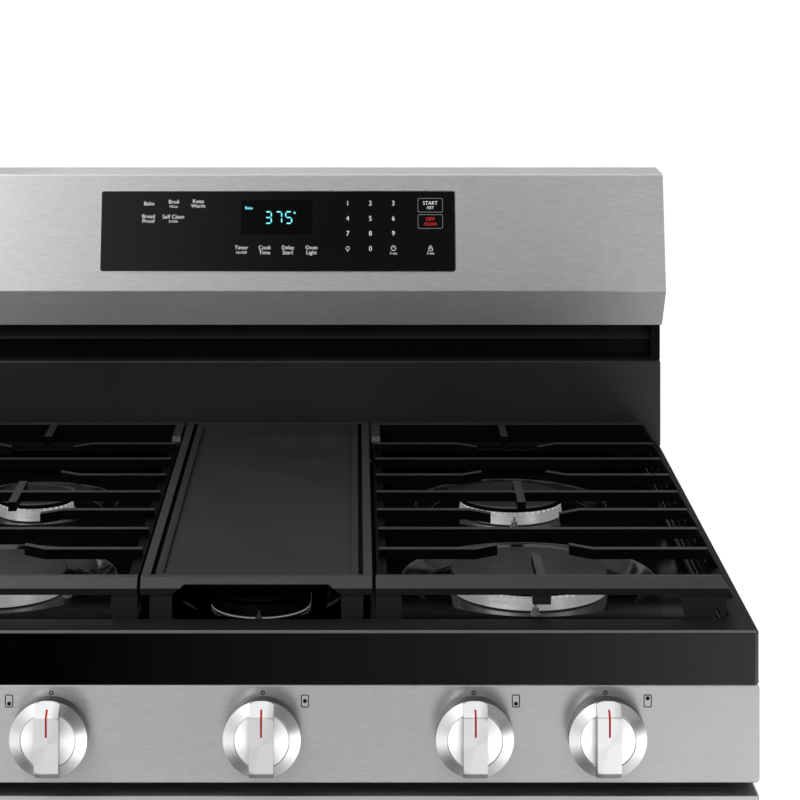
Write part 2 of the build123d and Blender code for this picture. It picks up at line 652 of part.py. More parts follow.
def make_backguard_frame():
    """Folded sheet box that carries the housing and backs the gap below it.

    A sloped lip crosses the gap, and a cheek closes each of its ends.
    """
    low, high = RIM_TOP + 0.2, HEIGHT - 2.2
    box = block(-HALF + 3.5, HALF - 3.5, FRAME_FRONT, HOUSING_REAR_Y - 0.5, low, high)
    hollow = block(-HALF + 5, HALF - 5, FRAME_FRONT + 1.5, HOUSING_REAR_Y, low + 1.5, high - 1.5)
    y = FRAME_FRONT
    lip = profile_x([(y + 0.5, 1031), (y - 6, 1019), (y - 6, 1018), (y + 0.5, 1017)], -370, 370)
    cheek = block(HALF - 9.5, HALF - 0.6, y - 14, y + 12, PANEL_TOP + 0.4, HOUSING_BOTTOM - 0.4)
    return joined([box - hollow, lip] + both_sides(cheek))


# ---------------------------------------------------------------- chassis
PANEL_OUT = 379.0
PANEL_FRONT_Y = -248.0
PANEL_REAR_Y = 337.0
PAN_HALF = 350.0
SCREW_ROWS = (120, 400, 700, 1000)
FOOT_X, FOOT_Y = 355.0, (-205.0, 290.0)
CORD_X, CORD_Y = 300.0, 318.0


def make_side_panels():
    """Left and right sheet panels with flanges folded in at the front and the rear."""
    top = APRON_BOTTOM - 0.2
    sheet = block(PANEL_OUT - SHEET, PANEL_OUT, PANEL_FRONT_Y, PANEL_REAR_Y, FLOOR_GAP, top)
    front = block(352, PANEL_OUT, PANEL_FRONT_Y, PANEL_FRONT_Y + SHEET, FLOOR_GAP, FASCIA_BOTTOM - 8)
    rear = block(354, PANEL_OUT, PANEL_REAR_Y - SHEET, PANEL_REAR_Y, 62, top)
    rear -= [bar_y(363, z, PANEL_REAR_Y - 3, PANEL_REAR_Y + 3, 2.3) for z in SCREW_ROWS[:3]]
    right = sheet + front + rear
    clear = bar_y(-REGULATOR_X, KNOB_Z, PANEL_REAR_Y - 4, PANEL_REAR_Y + 4, 16)
    right = right - clear
    return group([right, mirrored(right)])


def make_rear_cover():
    """Dished back cover with louvres, a screw rim and openings for gas and power."""
    y = PANEL_REAR_Y + 0.2
    top = HOUSING_BOTTOM - 8
    rim = block(-372, 372, y, y + SHEET, 62, top)
    dish = block(-PAN_HALF, PAN_HALF, y, REAR, 75, top - 12)
    hollow = block(-PAN_HALF + SHEET, PAN_HALF - SHEET, y - 1, REAR - SHEET, 75 + SHEET, top - 12 - SHEET)
    cover = rim + dish - hollow
    cover -= [bar_y(side * 363, z, y - 1, y + 2, 2.3) for side in (-1, 1) for z in SCREW_ROWS]
    cover -= bar_y(REGULATOR_X, KNOB_Z, y - 1, REAR + 1, 17)
    slots = [(x, z) for x in (-180, 0, 180) for z in range(560, 661, 25)]
    cover -= [block(x - 55, x + 55, REAR - 3, REAR + 1, z, z + 6) for x, z in slots]
    return cover


def make_cover_screws():
    """Pan-head screws around the rear cover."""
    y = PANEL_REAR_Y + 0.2 + SHEET
    screws = []
    for side in (-1, 1):
        for z in SCREW_ROWS:
            head = bar_y(side * 363, z, y, y + 2.4, 4.5)
            head = fillet(head.edges().sort_by(Axis.Y)[-1], 1)
            screws.append(head + bar_y(side * 363, z, y - 7, y, 2))
    return group(screws)


def make_base_frame():
    """Two side channels and two cross members that carry the chassis on its feet."""
    channel = block(336, 377, -235, 335, FLOOR_GAP, 62) - block(334, 375, -236, 336, FLOOR_GAP + 2, 60)
    channel -= [post(FOOT_X, y, FLOOR_GAP - 1, FLOOR_GAP + 3, 5.2) for y in FOOT_Y]
    pieces = [channel, mirrored(channel)]
    for y0, y1 in ((-235, -195), (300, 335)):
        pieces.append(block(-336, 336, y0, y1, FLOOR_GAP, 40) - block(-400, 400, y0 + 2, y1 - 2, 26, 41))
    return joined(pieces) - post(CORD_X, CORD_Y, FLOOR_GAP - 1, 41, 7)


def make_leveling_feet():
    """Threaded studs with round pads, and a nut above and below the channel."""
    feet = []
    for x in (-FOOT_X, FOOT_X):
        for y in FOOT_Y:
            pad = Pos(x, y, 4) * Cone(19, 16, 8)
            nut = extrude(RegularPolygon(8.5, 6), 6)
            stud = post(x, y, 8, 55, 5)
            feet.append(pad + stud + Pos(x, y, FLOOR_GAP - 6) * nut + Pos(x, y, FLOOR_GAP + 2) * nut)
    return group(feet)


def make_power_cord():
    """Flexible cord from the rear of the base, with a moulded plug lying under the base."""
    path = [(CORD_X, CORD_Y, 56), (CORD_X, CORD_Y, 12), (170, CORD_Y, 12), (170, 200, 12), (60, 200, 12)]
    plug = block(28, 62, 186, 214, 2, 22)
    plug = fillet(plug.edges().filter_by(Axis.Z), 5)
    blades = [bar_x(y, 12, 8, 28, 2) for y in (194, 206)]
    return joined([tube(path, 4, 14), plug] + blades)


# ---------------------------------------------------------------- oven
ARM_X = 330.0
FLANGE_HALF = 344.0
RACK_LEVELS = (405.0, 575.0)
RACK_HALF = 300.0
WIRE = 3.0
LEDGE = 8.0
CAVITY_SHEET = 1.2


def make_oven_cavity():
    """Enamelled box with a front flange and pressed ledges for the racks."""
    wall = CAVITY_SHEET
    shell = block(
        -OVEN_HALF - wall, OVEN_HALF + wall, OVEN_FRONT, OVEN_REAR + wall, OVEN_BOTTOM - wall, OVEN_TOP + wall
    )
    flange = block(-FLANGE_HALF, FLANGE_HALF, OVEN_FRONT, OVEN_FRONT + wall, DOOR_BOTTOM, DOOR_TOP - 2)
    inside = block(-OVEN_HALF, OVEN_HALF, OVEN_FRONT - 1, OVEN_REAR, OVEN_BOTTOM, OVEN_TOP)
    inside = fillet(inside.edges().filter_by(Axis.Y), 12)
    body = shell + flange - inside
    body -= both_sides(block(ARM_X - 5, ARM_X + 5, OVEN_FRONT - 1, OVEN_FRONT + 3, DOOR_BOTTOM - 1, 232))
    for level in RACK_LEVELS:
        ledge = block(OVEN_HALF - LEDGE, OVEN_HALF + 0.5, -225, OVEN_REAR - 8, level - 8, level - WIRE - 0.1)
        body += both_sides(ledge)
    return body


def make_oven_insulation():
    """Glass-wool blanket wrapped around the cavity, with pockets for the hinges."""
    deep = INSULATION
    wool = block(
        -OVEN_HALF - deep, OVEN_HALF + deep, OVEN_FRONT + 1.5, OVEN_REAR + deep,
        OVEN_BOTTOM - deep, OVEN_TOP + deep,
    )
    room = CAVITY_SHEET + FIT
    wool -= block(
        -OVEN_HALF - room, OVEN_HALF + room, OVEN_FRONT, OVEN_REAR + room,
        OVEN_BOTTOM - room, OVEN_TOP + room,
    )
    return wool - both_sides(block(ARM_X - 10, ARM_X + 10, OVEN_FRONT, -190, 214, 268))


def make_oven_floor():
    """Lift-off floor plate over the bake burner, slotted along both sides."""
    plate = block(-OVEN_HALF + 14, OVEN_HALF - 14, OVEN_FRONT + 6, OVEN_REAR - 3, 283, 284.2)
    slots = [block(x - 6, x + 6, y, y + 60, 282, 286) for x in (-270, 270) for y in range(-180, 160, 90)]
    legs = [block(x - 1, x + 1, -200, 200, OVEN_BOTTOM + 0.2, 283) for x in (-285, 285)]
    return joined([plate - slots] + legs)


def burner_loop(half, y0, y1, z, radius):
    """A U-shaped tube burner with its open ends at the rear."""
    return tube([(-half, y1, z), (-half, y0, z), (half, y0, z), (half, y1, z)], radius, 40)


def make_bake_burner():
    holder = block(-200, 200, 190, 194, 258, 276)
    return burner_loop(180, -150, 200, 267, 7) + holder


def make_broil_burner():
    straps = [block(-190, 190, y, y + 3, 722, OVEN_TOP - 0.2) for y in (-80, 120)]
    return joined([burner_loop(170, -120, 180, 714, 9)] + straps)


def make_oven_rack(level):
    """Welded wire rack that slides on the ledges."""
    front, rear = -217.0, 232.0
    side = RACK_HALF
    rack = [bar_y(x, level, front, rear, WIRE) for x in (-side, side)]
    rack += [bar_x(y, level, -side, side, WIRE) for y in (front, rear, 0)]
    count = 12
    step = 2 * side / count
    rack += [bar_y(-side + step * i, level + 3, front, rear, 1.8) for i in range(1, count)]
    return joined(rack)


def make_door_gasket():
    """Rope seal around the oven mouth."""
    y0, y1 = DOOR_BACK + 0.4, OVEN_FRONT - 0.1
    low, high = OVEN_BOTTOM - 11, OVEN_TOP + 16
    outer = upright_slab(-322, 322, low, high, y0, y1, 24)
    ring = outer - upright_slab(-313, 313, low + 9, high - 9, y0 - 1, y1 + 1, 15)
    return fillet(ring.faces().sort_by(Axis.Y)[0].edges(), 3)


def make_door_hinges():
    """Fixed hinge arms with their pivot pins, one at each side of the oven mouth."""
    arm = block(ARM_X - 2, ARM_X + 2, HINGE_Y, -200, HINGE_Z - 6, HINGE_Z + 6)
    arm += bar_x(HINGE_Y, HINGE_Z, ARM_X - 2, ARM_X + 2, 6)
    arm += block(ARM_X - 8, ARM_X + 8, -236, -196, 216, 262)
    arm += bar_x(HINGE_Y, HINGE_Z, ARM_X - 8.4, ARM_X + 8.4, 4)
    return group([arm, mirrored(arm)])


def hinge_slots(z_top):
    """Slots in the door's lower rear edge that let the hinge arms swing out."""
    return both_sides(block(ARM_X - 4, ARM_X + 4, HINGE_Y - 8, DOOR_BACK + 1, DOOR_BOTTOM - 1, z_top))


# ---------------------------------------------------------------- oven door
def make_door_skin():
    """Stainless outer skin with folded sides and bottom and a window opening."""
    low, high = DOOR_BOTTOM, DOOR_TOP
    body = block(-DOOR_HALF, DOOR_HALF, FRONT, DOOR_BACK - 4, low, high)
    body = fillet(body.edges().filter_by(Axis.Z).group_by(Axis.Y)[0], 2.5)
    body -= block(-DOOR_HALF + SHEET, DOOR_HALF - SHEET, FRONT + SHEET, DOOR_BACK, low + SHEET, high + 1)
    body -= upright_slab(-WINDOW_HALF, WINDOW_HALF, WINDOW_LOW, WINDOW_HIGH, FRONT - 1, FRONT + 3, 8)
    return body - hinge_slots(DOOR_BOTTOM + 5)


def make_door_glass():
    """Outer window pane, held behind the opening of the skin."""
    y = FRONT + SHEET + 0.1
    return upright_slab(-WINDOW_HALF - 12, WINDOW_HALF + 12, WINDOW_LOW - 12, WINDOW_HIGH + 12, y, y + 4, 6)


def make_door_top_vent():
    """Dark trim that closes the top of the door, with slim vent slots near its ends."""
    y0, y1 = FRONT + SHEET + 0.1, DOOR_BACK
    low, high = DOOR_TOP - 12, DOOR_TOP
    side = DOOR_HALF - SHEET - 0.2
    trim = block(-side, side, y0, y1, low, high)
    trim -= block(-side + 2, side - 2, y0 + 1.5, y1 - 1.5, low - 1, high - 1.5)
    slots = []
    for y in (y0 + 7, y0 + 15):
        sketch = SlotOverall(44, 2.6)
        slots += [Pos(side_x, y, high - 3) * extrude(sketch, 5) for side_x in (-333, 333)]
    return trim - slots


def make_door_liner():
    """Inner enamelled panel with its own window opening."""
    low, high = DOOR_BOTTOM + 1.5, DOOR_TOP - 13
    side = 372
    pan = block(-side, side, DOOR_BACK - 16, DOOR_BACK, low, high)
    pan -= block(-side + SHEET, side - SHEET, DOOR_BACK - 17, DOOR_BACK - SHEET, low + SHEET, high - SHEET)
    pan -= upright_slab(-230, 230, WINDOW_LOW + 20, WINDOW_HIGH - 20, DOOR_BACK - 3, DOOR_BACK + 1, 12)
    return pan - hinge_slots(DOOR_BOTTOM + 18)


def make_door_inner_glass():
    """Inner window pane against the liner."""
    y = DOOR_BACK - SHEET - 0.1
    return upright_slab(-242, 242, WINDOW_LOW + 8, WINDOW_HIGH - 8, y - 4, y, 6)


def make_hinge_channels():
    """Steel channels inside the door whose cheeks carry the hinge pins."""
    low, high = DOOR_BOTTOM + 3.2, 300
    outer = block(ARM_X - 8, ARM_X + 8, -284, DOOR_BACK - 6, low, high)
    outer -= block(ARM_X - 5, ARM_X + 5, -282, DOOR_BACK - 5, low - 1, high + 1)
    outer -= bar_x(HINGE_Y, HINGE_Z, ARM_X - 9, ARM_X + 9, 4.08)
    return group([outer, mirrored(outer)])


def make_door_handle():
    """Tubular bar across the door."""
    y = FRONT - HANDLE_REACH + HANDLE_RADIUS
    bar = bar_x(y, HANDLE_Z, -HANDLE_HALF, HANDLE_HALF, HANDLE_RADIUS)
    return fillet(bar.edges().filter_by(GeomType.CIRCLE), 4)


def make_handle_mounts():
    """Two stand-offs saddled to the back of the bar."""
    y = FRONT - HANDLE_REACH + HANDLE_RADIUS
    mounts = []
    for x in (-HANDLE_MOUNT_X, HANDLE_MOUNT_X):
        leg = upright_slab(x - 13, x + 13, HANDLE_Z - 9, HANDLE_Z + 9, y, FRONT, 5)
        mounts.append(leg - bar_x(y, HANDLE_Z, x - 20, x + 20, HANDLE_RADIUS + 0.02))
    return group(mounts)


# ---------------------------------------------------------------- storage drawer
DRAWER_FACE_DEPTH = 19.0
RUNNER_Z = 100.0
PULL_HALF = 150.0
PULL_LOW = 168.0
PULL_HIGH = 186.0


def finger_pull(grow):
    """The pressed-in grip near the drawer's top edge, grown by one sheet when asked."""
    half, y = PULL_HALF + grow, FRONT
    return upright_slab(-half, half, PULL_LOW - grow, PULL_HIGH + grow, y - 1, y + 11 + grow, 6 + grow)


def make_drawer_front():
    """Stainless drawer front with a finger pull pressed in near its top edge."""
    y0, y1 = FRONT, FRONT + DRAWER_FACE_DEPTH
    body = block(-DOOR_HALF, DOOR_HALF, y0, y1, DRAWER_BOTTOM, DRAWER_TOP)
    body = fillet(body.edges().filter_by(Axis.Z).group_by(Axis.Y)[0], 2.5)
    inner = block(
        -DOOR_HALF + SHEET, DOOR_HALF - SHEET, y0 + SHEET, y1 + 1, DRAWER_BOTTOM + SHEET, DRAWER_TOP - SHEET
    )
    return body - finger_pull(0) - (inner - finger_pull(SHEET))


def make_drawer_box():
    """Open sheet tray with a tongue along each side."""
    half, front, rear = DRAWER_BOX_HALF, FRONT + DRAWER_FACE_DEPTH + 0.1, DRAWER_REAR
    tray = block(-half, half, front, rear, 50, 160) - block(-half + 1, half - 1, front + 1, rear - 1, 51, 161)
    tongue = block(half - 0.5, half + 8, -225, rear - 5, RUNNER_Z - 2, RUNNER_Z + 2)
    return joined([tray] + both_sides(tongue))


def make_drawer_runners():
    """Fixed channels that the drawer's tongues run in."""
    half = DRAWER_BOX_HALF
    rail = block(half + 1.5, half + 17, -225, 250, RUNNER_Z - 8, RUNNER_Z + 8)
    rail -= block(half, half + 9, -226, 251, RUNNER_Z - 2.08, RUNNER_Z + 2.08)
    return group([rail, mirrored(rail)])


# ---------------------------------------------------------------- everything, node by node
NODES = {
    "cooktop": make_cooktop(),
    "burner_bases": make_burner_bases(),
    "burner_heads": make_burner_heads(),
    "spark_electrodes": make_spark_electrodes(),
    "grate_right": side_grate(),
    "grate_left": mirrored(side_grate()),
    "grate_centre": make_centre_grate(),
    "griddle": make_griddle(),
    "knob_fascia": make_knob_fascia(),
    "knob_bezels": make_knob_bezels(),
    "burner_valves": make_burner_valves(),
    "gas_manifold": make_gas_manifold(),
    "pressure_regulator": make_pressure_regulator(),
    "supply_tubes": make_supply_tubes(),
    "control_housing": make_control_housing(),
    "touch_glass": make_touch_glass(),
    "control_board": make_control_board(),
    "backguard_lower_panel": make_backguard_lower_panel(),
    "backguard_frame": make_backguard_frame(),
    "side_panels": make_side_panels(),
    "rear_cover": make_rear_cover(),
    "cover_screws": make_cover_screws(),
    "base_frame": make_base_frame(),
    "leveling_feet": make_leveling_feet(),
    "power_cord": make_power_cord(),
    "oven_cavity": make_oven_cavity(),
    "oven_insulation": make_oven_insulation(),
    "oven_floor": make_oven_floor(),
    "bake_burner": make_bake_burner(),
    "broil_burner": make_broil_burner(),
    "oven_rack_lower": make_oven_rack(RACK_LEVELS[0]),
    "oven_rack_upper": make_oven_rack(RACK_LEVELS[1]),
    "door_gasket": make_door_gasket(),
    "door_hinges": make_door_hinges(),
    "hinge_channels": make_hinge_channels(),
    "door_skin": make_door_skin(),
    "door_glass": make_door_glass(),
    "door_top_vent": make_door_top_vent(),
    "door_liner": make_door_liner(),
    "door_inner_glass": make_door_inner_glass(),
    "door_handle": make_door_handle(),
    "handle_mounts": make_handle_mounts(),
    "drawer_front": make_drawer_front(),
    "drawer_box": make_drawer_box(),
    "drawer_runners": make_drawer_runners(),
    "cap_centre": make_oval_cap(),
}
for place in ROUND_BURNERS:
    NODES["cap_" + place] = make_round_cap(place)
for place, across in zip(KNOB_NAMES, KNOB_X):
    NODES["knob_" + place] = make_knob(across)
    NODES["valve_rotor_" + place] = make_valve_rotor(across)

os.makedirs("parts", exist_ok=True)
for name, shape in NODES.items():
    export_step(shape, "parts/" + name + ".step")
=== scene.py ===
import json
import math

import bmesh
import bpy
from mathutils import Matrix, Vector


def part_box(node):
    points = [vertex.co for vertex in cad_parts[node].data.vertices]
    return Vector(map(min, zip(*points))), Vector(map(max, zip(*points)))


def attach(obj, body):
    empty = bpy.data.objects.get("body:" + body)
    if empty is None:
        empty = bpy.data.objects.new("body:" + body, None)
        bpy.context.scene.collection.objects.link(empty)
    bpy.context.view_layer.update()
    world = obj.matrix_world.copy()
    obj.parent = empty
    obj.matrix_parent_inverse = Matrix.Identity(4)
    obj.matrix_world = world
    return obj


# Looks of a 30-inch freestanding gas range. Metres, +X right, +Y rear, +Z up.

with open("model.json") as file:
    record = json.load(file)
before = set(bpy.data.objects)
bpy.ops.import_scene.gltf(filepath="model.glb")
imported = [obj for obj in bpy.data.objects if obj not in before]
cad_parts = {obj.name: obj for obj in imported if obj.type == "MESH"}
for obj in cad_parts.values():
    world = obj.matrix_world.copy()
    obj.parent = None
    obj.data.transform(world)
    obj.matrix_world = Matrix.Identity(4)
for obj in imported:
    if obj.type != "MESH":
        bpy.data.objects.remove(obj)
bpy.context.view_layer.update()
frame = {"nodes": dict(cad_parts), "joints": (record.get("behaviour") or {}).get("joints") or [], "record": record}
NODES = frame["nodes"]
MM = 0.001

PLACES = ("left_rear", "left_front", "centre", "right_front", "right_rear")
JOINT_AT = {j["name"]: j for j in frame["joints"]}
KNOB_AXIS = {p: Vector(JOINT_AT["turn_" + p]["pos_m"]) for p in PLACES}

RIGHT, UP = Vector((1, 0, 0)), Vector((0, 0, 1))

# the sloped face of the backguard's housing leans back by this run over this rise, in millimetres
SLOPE_RUN, SLOPE_RISE = 25.5, 111.3
SLOPE_LENGTH = math.hypot(SLOPE_RUN, SLOPE_RISE)
SLOPE_UP = Vector((0, SLOPE_RUN, SLOPE_RISE)) / SLOPE_LENGTH
SLOPE_OUT = Vector((0, -SLOPE_RISE, SLOPE_RUN)) / SLOPE_LENGTH


# ---------------------------------------------------------------- nodes
def feed(tree, target, value):
    """Gives an input a number or a colour, or links another node's output to it."""
    if isinstance(value, bpy.types.NodeSocket):
        tree.links.new(value, target)
    elif target.type == "RGBA":
        target.default_value = (*value, 1)
    else:
        target.default_value = value


def add_range(tree, value, low, high, new_low, new_high):
    """A node that maps a value from one range to another, clamped."""
    node = tree.nodes.new("ShaderNodeMapRange")
    inputs = {"Value": value, "From Min": low, "From Max": high,
              "To Min": new_low, "To Max": new_high}
    for socket, number in inputs.items():
        feed(tree, node.inputs[socket], number)
    return node


# where nearly all of a noise's output lies
FINE = (0.3, 0.7)
CLOUD = (0.35, 0.7)

# sockets of the Mix node, which has one set for numbers and one for colours
MIX_VALUE_INPUTS = (0, 2, 3)
MIX_COLOUR_INPUTS, MIX_COLOUR_OUTPUT = (0, 6, 7), 2
QUARTER_TURN = 0.25


class Shader:
    """A material's node tree with short calls to add and link nodes."""

    def __init__(self, name):
        self.material = bpy.data.materials.new(name)
        self.material.use_nodes = True
        self.tree = self.material.node_tree
        self.surface = self.tree.nodes["Principled BSDF"]
        self.coords = self.add("ShaderNodeTexCoord").outputs["Object"]

    def add(self, kind, **settings):
        node = self.tree.nodes.new(kind)
        for key, value in settings.items():
            setattr(node, key, value)
        return node

    def put(self, socket, value):
        """Feeds an input of the surface."""
        feed(self.tree, self.surface.inputs[socket], value)

    def stretched(self, stretch, offset=(0, 0, 0)):
        """The object's coordinates, scaled and shifted."""
        mapping = self.add("ShaderNodeMapping")
        mapping.inputs["Scale"].default_value = stretch
        mapping.inputs["Location"].default_value = offset
        self.tree.links.new(self.coords, mapping.inputs["Vector"])
        return mapping.outputs["Vector"]

    def noise(self, scale, stretch=(1, 1, 1), detail=4, rough=0.55, offset=(0, 0, 0)):
        texture = self.add("ShaderNodeTexNoise")
        texture.inputs["Scale"].default_value = scale
        texture.inputs["Detail"].default_value = detail
        texture.inputs["Roughness"].default_value = rough
        self.tree.links.new(self.stretched(stretch, offset), texture.inputs["Vector"])
        return texture.outputs["Fac"]

    def cells(self, scale):
        """Distance to the nearest of many scattered points."""
        texture = self.add("ShaderNodeTexVoronoi")
        texture.inputs["Scale"].default_value = scale
        self.tree.links.new(self.stretched((1, 1, 1)), texture.inputs["Vector"])
        return texture.outputs["Distance"]

    def span(self, value, low, high, new_low, new_high):
        """Maps a value from one range to another, clamped."""
        return add_range(self.tree, value, low, high, new_low, new_high).outputs["Result"]

    def step(self, value, begin, end):
        """0 up to begin and 1 from end on; a begin above its end steps the other way."""
        return self.span(value, begin, end, 0, 1)

    def band(self, value, rise, fall):
        """1 between two edges, each given as where it begins and ends."""
        return self.math("MULTIPLY", self.step(value, *rise), self.step(value, *fall))

    def split(self, vector):
        node = self.add("ShaderNodeSeparateXYZ")
        feed(self.tree, node.inputs[0], vector)
        return node.outputs

    def math(self, operation, a, b=0):
        """A sum, product or the like of two values."""
        node = self.add("ShaderNodeMath", operation=operation)
        feed(self.tree, node.inputs[0], a)
        feed(self.tree, node.inputs[1], b)
        return node.outputs[0]

    def vector_math(self, operation, a, b=None):
        """The node for a difference, cross product or length of vectors."""
        node = self.add("ShaderNodeVectorMath", operation=operation)
        feed(self.tree, node.inputs[0], a)
        if b is not None:
            feed(self.tree, node.inputs[1], b)
        return node

    def place(self):
        """X, Y and Z of the shaded point at rest, in metres."""
        return self.split(self.coords)

    def facing(self):
        """The surface normal as a vector."""
        return self.add("ShaderNodeTexCoord").outputs["Normal"]

    def normal(self):
        """X, Y and Z of the surface normal."""
        return self.split(self.facing())

    def mix(self, factor, dark, light):
        """Dark where the factor is 0, light where it is 1."""
        node = self.add("ShaderNodeMix", data_type="RGBA")
        for index, value in zip(MIX_COLOUR_INPUTS, (factor, dark, light)):
            feed(self.tree, node.inputs[index], value)
        return node.outputs[MIX_COLOUR_OUTPUT]

    def bump(self, height, strength, distance):
        """Adds a bump; further bumps stack on the ones before."""
        node = self.add("ShaderNodeBump")
        node.inputs["Strength"].default_value = strength
        node.inputs["Distance"].default_value = distance
        self.tree.links.new(height, node.inputs["Height"])
        before = self.surface.inputs["Normal"].links
        if before:
            self.tree.links.new(before[0].from_socket, node.inputs["Normal"])
        self.put("Normal", node.outputs["Normal"])

    def brush(self, amount, way):
        """Stretches highlights across the brushing, whose way is a node's output."""
        self.put("Anisotropic", amount)
        self.put("Anisotropic Rotation", QUARTER_TURN)
        self.put("Tangent", way)

    def constant(self, vector):
        """A fixed vector as a node's output."""
        node = self.add("ShaderNodeCombineXYZ")
        for index, value in enumerate(vector):
            node.inputs[index].default_value = value
        return node.outputs[0]


def tint(colour, factor):
    return tuple(min(1.0, c * factor) for c in colour)


# ---------------------------------------------------------------- materials
SCRATCHES = (80, 800, 900)  # brushing marks per metre along X, Y and Z
BROAD_SCRATCHES = tuple(v * 0.2 for v in SCRATCHES)
SCRATCH_DARK, SCRATCH_LIGHT = 0.86, 1.08
BROAD_TONE, BROAD_SHARE = 0.94, 0.35

# of a normal's Z: where a surface begins to face down or up, and where it does so fully
FACING_DOWN = (-0.3, -0.6)
FACING_UP = (0.30, 0.56)


def brushed(name, colour, rough, depth=0.30, underside=0.0):
    """Metal brushed along X: short fine scratches, soft colour streaks, faint smudges.

    Faces that look down get the extra roughness given as underside."""
    s = Shader(name)
    fine = s.noise(1, SCRATCHES, detail=3, rough=0.7)
    broad = s.noise(1, BROAD_SCRATCHES, detail=2)
    smudge = s.noise(7, detail=3)
    streak = s.mix(s.step(fine, *FINE), tint(colour, SCRATCH_DARK), tint(colour, SCRATCH_LIGHT))
    s.put("Base Color", s.mix(s.span(broad, 0.35, 0.65, 0, BROAD_SHARE),
                              streak, tint(colour, BROAD_TONE)))
    s.put("Metallic", 1.0)
    uneven = s.math("ADD", s.span(fine, *FINE, rough - 0.05, rough + 0.06),
                    s.span(smudge, 0.4, 0.7, 0.0, 0.03))
    s.put("Roughness", s.math("ADD", uneven, s.span(s.normal()[2], *FACING_DOWN, 0, underside)))
    s.brush(0.85, s.constant(RIGHT))
    s.bump(fine, depth, 0.05 * MM)
    return s.material


GRIP_REACH = 22.3 * MM  # the grip stands further out from a knob's origin than this
GRIP_EDGE = (GRIP_REACH - 0.2 * MM, GRIP_REACH + 0.2 * MM)
RING_EDGE = (19.5 * MM, 22 * MM)  # the ring's sectors fade in between these radii
SECTOR_FADE = (0.12, 0.5)  # of the product of a direction's two parts, 0.5 on a diagonal
SECTOR_PAINTED_SHADE = 0.62
MIDDLE_SHARE = 0.15  # how much of the sectors' painted shade the knob's middle gets
# painted shade on a knob's sides, as a share of its colour
SIDE_PAINTED_SHADE = 0.25


def knob_painted_shade(s, centre):
    """Painted shade on a knob: 1 on its face, less on its sides and on the two dim sectors of its ring.

    The sides get painted shade; the sectors are a painted reflection, dark where circular brushing turns from the
    light."""
    x, _, z = s.place()
    across = s.math("SUBTRACT", x, centre.x)
    rise = s.math("SUBTRACT", z, centre.z)
    square = s.math("ADD", s.math("MULTIPLY", across, across), s.math("MULTIPLY", rise, rise))
    turn = s.math("DIVIDE", s.math("MULTIPLY", across, rise), square)
    ring = s.span(square, RING_EDGE[0] ** 2, RING_EDGE[1] ** 2, MIDDLE_SHARE, 1)
    # painted reflection: two dim sectors of the ring
    dim = s.math("MULTIPLY", ring, s.span(turn, *SECTOR_FADE, 0, SECTOR_PAINTED_SHADE))
    # painted shade: sides that face across the axis are darker
    side = s.span(s.math("ABSOLUTE", s.normal()[1]), 0.25, 0.6, SIDE_PAINTED_SHADE, 1)
    return s.math("MULTIPLY", s.math("SUBTRACT", 1.0, dim), side)


TURNED_LINES = 2600  # machining lines per metre of radius
LINE_DARK, LINE_LIGHT = 0.93, 1.04


def turned_metal(name, centre, colour, rough, axis=(0, 1, 0), knob=False):
    """Satin metal with circular machining lines around an axis; a knob's grip is straight, and a knob gets painted
    shade on its sides and on two sectors of its ring.
    """
    s = Shader(name)
    middle = s.vector_math("SUBTRACT", s.coords, centre).outputs[0]
    around = s.vector_math("CROSS_PRODUCT", middle, axis).outputs[0]
    radius = s.add("ShaderNodeCombineXYZ")
    feed(s.tree, radius.inputs[0], s.vector_math("LENGTH", around).outputs["Value"])
    rings = s.add("ShaderNodeTexNoise")
    rings.inputs["Scale"].default_value = TURNED_LINES
    rings.inputs["Detail"].default_value = 3
    feed(s.tree, rings.inputs["Vector"], radius.outputs[0])
    grain = rings.outputs["Fac"]
    toned = s.mix(s.step(grain, *FINE), tint(colour, LINE_DARK), tint(colour, LINE_LIGHT))
    way = around
    if knob:
        # painted shade and painted reflection darken the knob's sides and two ring sectors
        toned = s.mix(knob_painted_shade(s, centre), (0, 0, 0), toned)
        near, far = (centre.y - reach for reach in GRIP_EDGE)
        way = s.mix(s.span(s.place()[1], far, near, 1, 0), around, RIGHT)
    s.put("Base Color", toned)
    s.put("Metallic", 1.0)
    s.put("Roughness", s.span(grain, *FINE, rough - 0.04, rough + 0.06))
    s.brush(0.8, way)
    s.bump(grain, 0.12, 0.03 * MM)
    return s.material


def haze(s, low, high):
    """Uneven gloss: a roughness between two limits in soft clouds."""
    return s.span(s.noise(14, detail=5, offset=(3, 1, 2)), *CLOUD, low, high)


def orange_peel(s):
    s.bump(s.noise(420, detail=2), 0.06, 0.2 * MM)


SPECK = (0.55, 0.57, 0.62)


def enamel(name, colour, rough, specks=0.0, gloss=0.5):
    """Vitreous enamel: deep gloss with a slight orange peel and faint haze, or pale specks."""
    s = Shader(name)
    if specks:
        toned = s.mix(s.span(s.cells(900), 0.10, 0.16, specks, 0.0), colour, SPECK)
    else:
        toned = s.mix(s.step(s.noise(9, detail=4), *CLOUD), colour, tint(colour, 1.35))
    s.put("Base Color", toned)
    s.put("Roughness", haze(s, rough, rough + 0.07))
    s.put("Specular IOR Level", gloss)
    orange_peel(s)
    return s.material


# black enamel of the cooktop, by the height below the rim's top and by the normal
RIM_SKIN = (0.3 * MM, 0.1 * MM)
RIM_LEVEL = (0.98, 0.995)
